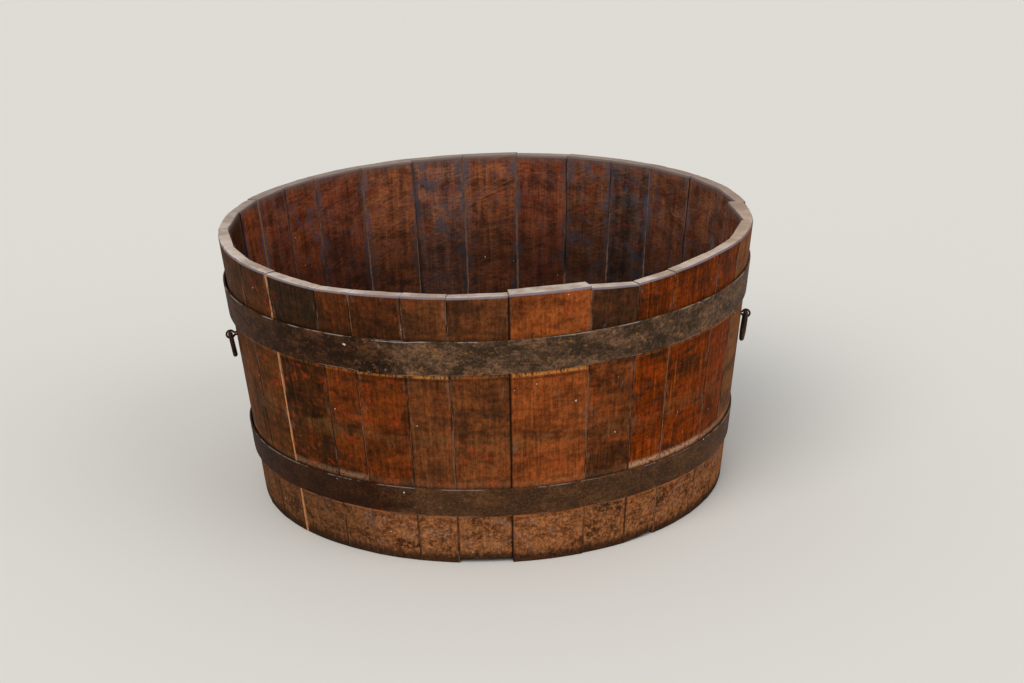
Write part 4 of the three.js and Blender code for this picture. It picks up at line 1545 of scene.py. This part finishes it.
@dataclass
class RingHandle:
    """A ring that hangs from a split-pin eye, clinched over a round plate inside the wall."""

    side: str
    azimuth: float
    stave: int
    wall: CooperedWall
    height: float = 243.5 * MM
    standoff: float = 7 * MM
    eye_radius: float = 5.5 * MM
    eye_wire: float = 1.5 * MM
    leg: float = 1.7 * MM
    bend: float = 2.2 * MM
    clinch_reach: float = 8.5 * MM
    rove_radius: float = 9 * MM
    rove_hole: float = 3.8 * MM
    rove_thickness: float = 1.5 * MM
    ring_outside: float = 44.5 * MM
    ring_wire: float = 3.4 * MM
    lean: float = 9.0
    pin_seed: int = 71
    rove_seed: int = 77
    ring_seed: int = 91

    def frame(self) -> tuple[Array, Array, Array, Array]:
        """Gives the place on the cone and the unit vectors along the wall, up its slope and out."""
        return self.wall.cone.frames(np.array(self.azimuth), np.array(self.height))

    def inner_face(self) -> tuple[float, Array]:
        """Finds the stave's inner face on the pin's line.

        Returns:
            Its depth below the cone, square to the wall, and its unit normal into the tub.
        """
        stave = STAVES[self.stave - 1]
        seams = self.wall.seams()[self.stave - 1 : self.stave + 1]
        cone = self.wall.cone
        radii = cone.radius(self.height) - (np.array(stave.inset) + np.array(stave.thick)) * MM
        a = np.radians(seams)
        ends = np.stack([radii * np.cos(a), radii * np.sin(a)], -1)
        chord = ends[1] - ends[0]
        ray = np.array([np.cos(np.radians(self.azimuth)), np.sin(np.radians(self.azimuth))])
        radius = np.linalg.det([ends[0], chord]) / np.linalg.det([ray, chord])
        slope = (cone.rim_radius - cone.foot_radius) / cone.height
        along = np.array([*chord, 0]) / np.linalg.norm(chord)
        up = np.array([*(ray * slope), 1])
        normal = np.cross(up, along)
        normal /= np.linalg.norm(normal)
        depth = (cone.radius(self.height) - radius) / np.hypot(1, slope)
        return depth, -normal * np.sign(normal[:2] @ ray)

    def pin_path(self, clinch: float) -> Array:
        """Draws the pin's wire in its own plane: tips, legs, bends and eye, as arcs and lines.

        Args:
            clinch: how deep the clinched tips lie, below the cone.

        Returns:
            Points of height up the wall and distance out of it.
        """
        up_bend = self.leg + self.bend
        neck = np.sqrt((self.eye_radius + self.bend) ** 2 - up_bend**2)
        meet = np.arctan2(up_bend, neck)
        neck_at = self.standoff - neck
        bend_at = clinch + self.bend
        quarter = np.pi / 2

        def arc(y: float, z: float, radius: float, start: float, stop: float, count: int) -> Array:
            """Gives points of an arc about y, z, with angles measured from outwards."""
            angle = np.linspace(start, stop, count)
            return np.stack([y + radius * np.sin(angle), z + radius * np.cos(angle)], -1)

        leg = np.linspace([self.leg, bend_at], [self.leg, neck_at], 12)[1:-1]
        half = [
            np.linspace([self.clinch_reach, clinch], [up_bend, clinch], 8)[:-1],
            arc(up_bend, bend_at, self.bend, -2 * quarter, -quarter, 8),
            leg,
            arc(up_bend, neck_at, self.bend, -quarter, -meet, 7),
        ]
        first = np.concatenate(half)
        eye = arc(0, self.standoff, self.eye_radius, 2 * quarter - meet, meet - 2 * quarter, 42)[1:-1]
        return np.concatenate([first, eye, first[::-1] * [-1, 1]])

    def split_pin(self, clinch: float) -> list[Sheet]:
        """Sweeps the pin's wire, thinner and rounded at its tips.

        Args:
            clinch: how deep the clinched tips lie, below the cone.

        Returns:
            Its surface.
        """
        place, along, up, out = self.frame()
        flat = self.pin_path(clinch)
        tip = (flat[0] - flat[1]) / np.linalg.norm(flat[0] - flat[1])
        cap = flat[0] + tip * np.array([1.0, 0.85, 0.5])[:, None] * self.eye_wire - tip * self.eye_wire
        middle = flat[1:-1]
        flat = np.concatenate([cap, middle, cap[::-1] * [-1, 1]])
        round_off = self.eye_wire * np.array([0.02, 0.53, 0.87])
        bent = self.eye_wire * (1 + 0.04 * ripple(self.pin_seed, np.arange(len(middle)) / 9))
        radius = np.concatenate([round_off, bent, round_off[::-1]])
        path = place + flat[:, :1] * up + flat[:, 1:] * out
        sheet = swept(path, along, radius, 16)
        sheet.points[[0, -1]] = sheet.points[[0, -1]].mean(axis=1, keepdims=True)
        return [sheet]

    def rove(self, depth: float, normal: Array) -> Sheet:
        """Turns the plate that the pin is clinched over, its outer edge filed round.

        Args:
            depth: how deep the stave's inner face lies.
            normal: the direction into the tub.

        Returns:
            Its surface.
        """
        place, _, up, out = self.frame()
        foot = place - out * (depth + CLEARANCE)
        hole, edge, thick = self.rove_hole, self.rove_radius, self.rove_thickness
        filed = [[edge, thick * 0.55], [edge - 0.35 * MM, thick * 0.88], [edge - 0.9 * MM, thick]]
        bore = [[hole + 0.3 * MM, thick], [hole, thick * 0.8], [hole, 0]]
        profile = np.array([[hole, 0], [edge, 0], *filed, *bore])
        side = np.cross(up, normal)
        side /= np.linalg.norm(side)
        return turned(profile, foot, (side, np.cross(normal, side), normal), 40, 0.012, self.rove_seed)

    def ring(self) -> Sheet:
        """Bends the ring: a circle through the eye that leans in towards the wall.

        Returns:
            Its surface, with the wire a little uneven and flattened where it bears.
        """
        place, along, _, out = self.frame()
        rest = self.eye_radius - self.eye_wire - self.ring_wire - CLEARANCE
        swing = self.ring_outside / 2 - self.ring_wire
        pivot = place + self.standoff * out - np.array([0, 0, rest])
        a, lean = np.radians([self.azimuth, self.lean])
        outward = np.array([np.cos(a), np.sin(a), 0])
        hang = -np.cos(lean) * np.array([0, 0, 1]) - np.sin(lean) * outward
        turn = np.linspace(0, 2 * np.pi, 97)[:, None]
        centre = pivot + hang * swing
        path = centre - swing * (np.cos(turn) * hang + np.sin(turn) * along)
        uneven = ripple(self.ring_seed + self.stave, np.cos(turn[:, 0]), np.sin(turn[:, 0]))
        return swept(path, np.cross(hang, along), self.ring_wire * (0.985 + 0.02 * uneven), 24)

    def build(self, iron: bpy.types.Material, plate: bpy.types.Material) -> None:
        """Makes the pin, its plate and the ring.

        Args:
            iron: the pin's and the ring's iron.
            plate: the plate's iron.
        """
        depth, normal = self.inner_face()
        clinch = -(depth + self.rove_thickness + 2 * CLEARANCE + self.eye_wire)
        pin = join_sheets(f"eye_{self.side}_bent", self.split_pin(clinch), [iron], crease=60)
        settle(pin, "tub", "ring_iron", f"eye_{self.side}")
        rove = join_sheets(f"eye_rove_{self.side}_filed", [self.rove(depth, normal)], [plate], crease=50)
        settle(rove, "tub", "rivet_iron", f"eye_rove_{self.side}")
        ring = join_sheets(f"ring_{self.side}_forged", [self.ring()], [iron], crease=60)
        settle(ring, f"{self.side}_handle", "ring_iron", f"ring_{self.side}")


# ------------------------------------------------------------------------------------ the studio


@dataclass(frozen=True)
class Studio:
    """A plain pale floor, soft lamps and the camera, which looks down from in front."""

    eye: tuple[float, float, float] = (0.0, -2.76, 1.148)
    pitch: float = 0.3326
    yaw: float = 0.0123
    roll: float = -0.0259
    lens: float = 70.3125
    floor_colour: str = "dcd8d0"

    def stand(self, data: bpy.types.ID, place: tuple[float, float, float],
              axes: tuple[Array, Array, Array]) -> bpy.types.Object:
        """Stands a camera or a lamp in the scene.

        Args:
            data: the camera or lamp.
            place: where it stands.
            axes: the unit vectors to its right, up and back.

        Returns:
            Its object.
        """
        stood = bpy.data.objects.new(data.name, data)
        turn = Matrix(np.stack(axes, axis=1).tolist()).to_4x4()
        stood.matrix_world = Matrix.Translation(place) @ turn
        bpy.context.scene.collection.objects.link(stood)
        return stood

    def place_camera(self) -> None:
        """Sets the camera from its pitch, yaw and roll in radians."""
        ahead = np.array([np.sin(self.yaw) * np.cos(self.pitch), np.cos(self.yaw) * np.cos(self.pitch),
                          -np.sin(self.pitch)])
        level = np.array([np.cos(self.yaw), -np.sin(self.yaw), 0])
        upright = np.cross(level, ahead)
        right = np.cos(self.roll) * level + np.sin(self.roll) * upright
        up = -np.sin(self.roll) * level + np.cos(self.roll) * upright
        data = bpy.data.cameras.new("camera")
        data.lens = self.lens
        data.sensor_width = 36
        data.clip_start, data.clip_end = 0.05, 60
        bpy.context.scene.camera = self.stand(data, self.eye, (right, up, -ahead))

    def lay_floor(self) -> None:
        """Lays the floor, a wide flat sheet just under the tub's foot."""
        span = np.linspace(-9, 9, 3)
        x, y = np.meshgrid(span, span)
        points = np.stack([x, y, 0 * x - 0.3 * MM], -1)
        bench = NodeBench("plain_floor")
        bench.colour = seen(self.floor_colour)
        finish = bench.surface(0.9, Specular_IOR_Level=0.2)
        sheet = plain_sheet(points)
        floor = join_sheets("floor", [sheet], [finish])

    def hang_lamp(self, name: str, place: tuple[float, float, float], width: float, strength: float,
                  tint: tuple[float, float, float]) -> None:
        """Hangs a wide soft lamp, far off, that shines on the tub from a place's direction.

        Args:
            name: the lamp's name.
            place: the direction that it shines from.
            width: how wide it looks from the tub, in degrees.
            strength: its strength.
            tint: its colour.
        """
        data = bpy.data.lights.new(name, "SUN")
        data.angle = np.radians(width)
        data.energy = strength
        data.color = tint
        back = np.array(place) / np.linalg.norm(place)
        across = np.cross([0, 0, 1], back)
        across /= np.linalg.norm(across)
        self.stand(data, place, (across, np.cross(back, across), back))

    def build(self) -> None:
        """Sets up the floor, the light and the camera."""
        self.lay_floor()
        self.hang_lamp("key", (-1.2, -2.2, 2.6), 40, 1.5, (1.0, 0.98, 0.95))
        self.hang_lamp("fill", (2.4, -1.4, 1.9), 50, 0.6, (0.96, 0.98, 1.0))
        world = bpy.data.worlds.new("soft_sky")
        world.use_nodes = True
        sky = world.node_tree.nodes["Background"]
        sky.inputs["Color"].default_value = (0.93, 0.96, 1.0, 1.0)
        sky.inputs["Strength"].default_value = 0.62
        bpy.context.scene.world = world
        self.place_camera()
        bpy.context.scene.view_settings.view_transform = "Standard"


def main() -> None:
    """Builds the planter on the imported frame, and its studio."""
    logging.basicConfig(level=logging.INFO, format="%(name)s: %(message)s")
    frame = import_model()
    slots = {part["node"]: part["material_slot"] for part in frame["record"]["subparts"]}

    upper = RivetedHoop("upper", Level(301 * MM, 0.92, 349), width=47.5 * MM, lap_from=242.2, lap=11,
                        seed=11, waver=0.5 * MM)
    lower = RivetedHoop("lower", Level(89.5 * MM, 0.6, 303), width=40.5 * MM, lap_from=96, lap=11,
                        seed=23, waver=0.3 * MM)
    varnish = OuterVarnish(upper.edge(-1), lower.edge(1), lower.edge(-1))
    wall = CooperedWall()
    wall.build([varnish.make(), InnerStain().make(), SandedEnd().make()], slots)

    head_pitch = 2 * HEAD_RADIUS / BoardedHead.boards
    head_finish = BareBoard(head_pitch).make()
    peg_finish = BareBoard(head_pitch, "8c6238", "b58a5a").make()
    peg_finish.name = "peg_wood"
    BoardedHead().build(frame, head_finish, peg_finish)

    upper_iron, lower_iron, rivet_iron, ring_iron = (iron.value.make() for iron in Iron)
    upper.build(upper_iron, rivet_iron)
    lower.build(lower_iron, rivet_iron)
    RingHandle("right", -7, 29, wall).build(ring_iron, rivet_iron)
    RingHandle("left", 191, 15, wall, ring_outside=37 * MM).build(ring_iron, rivet_iron)

    Studio().build()


if __name__ == "__main__":
    main()
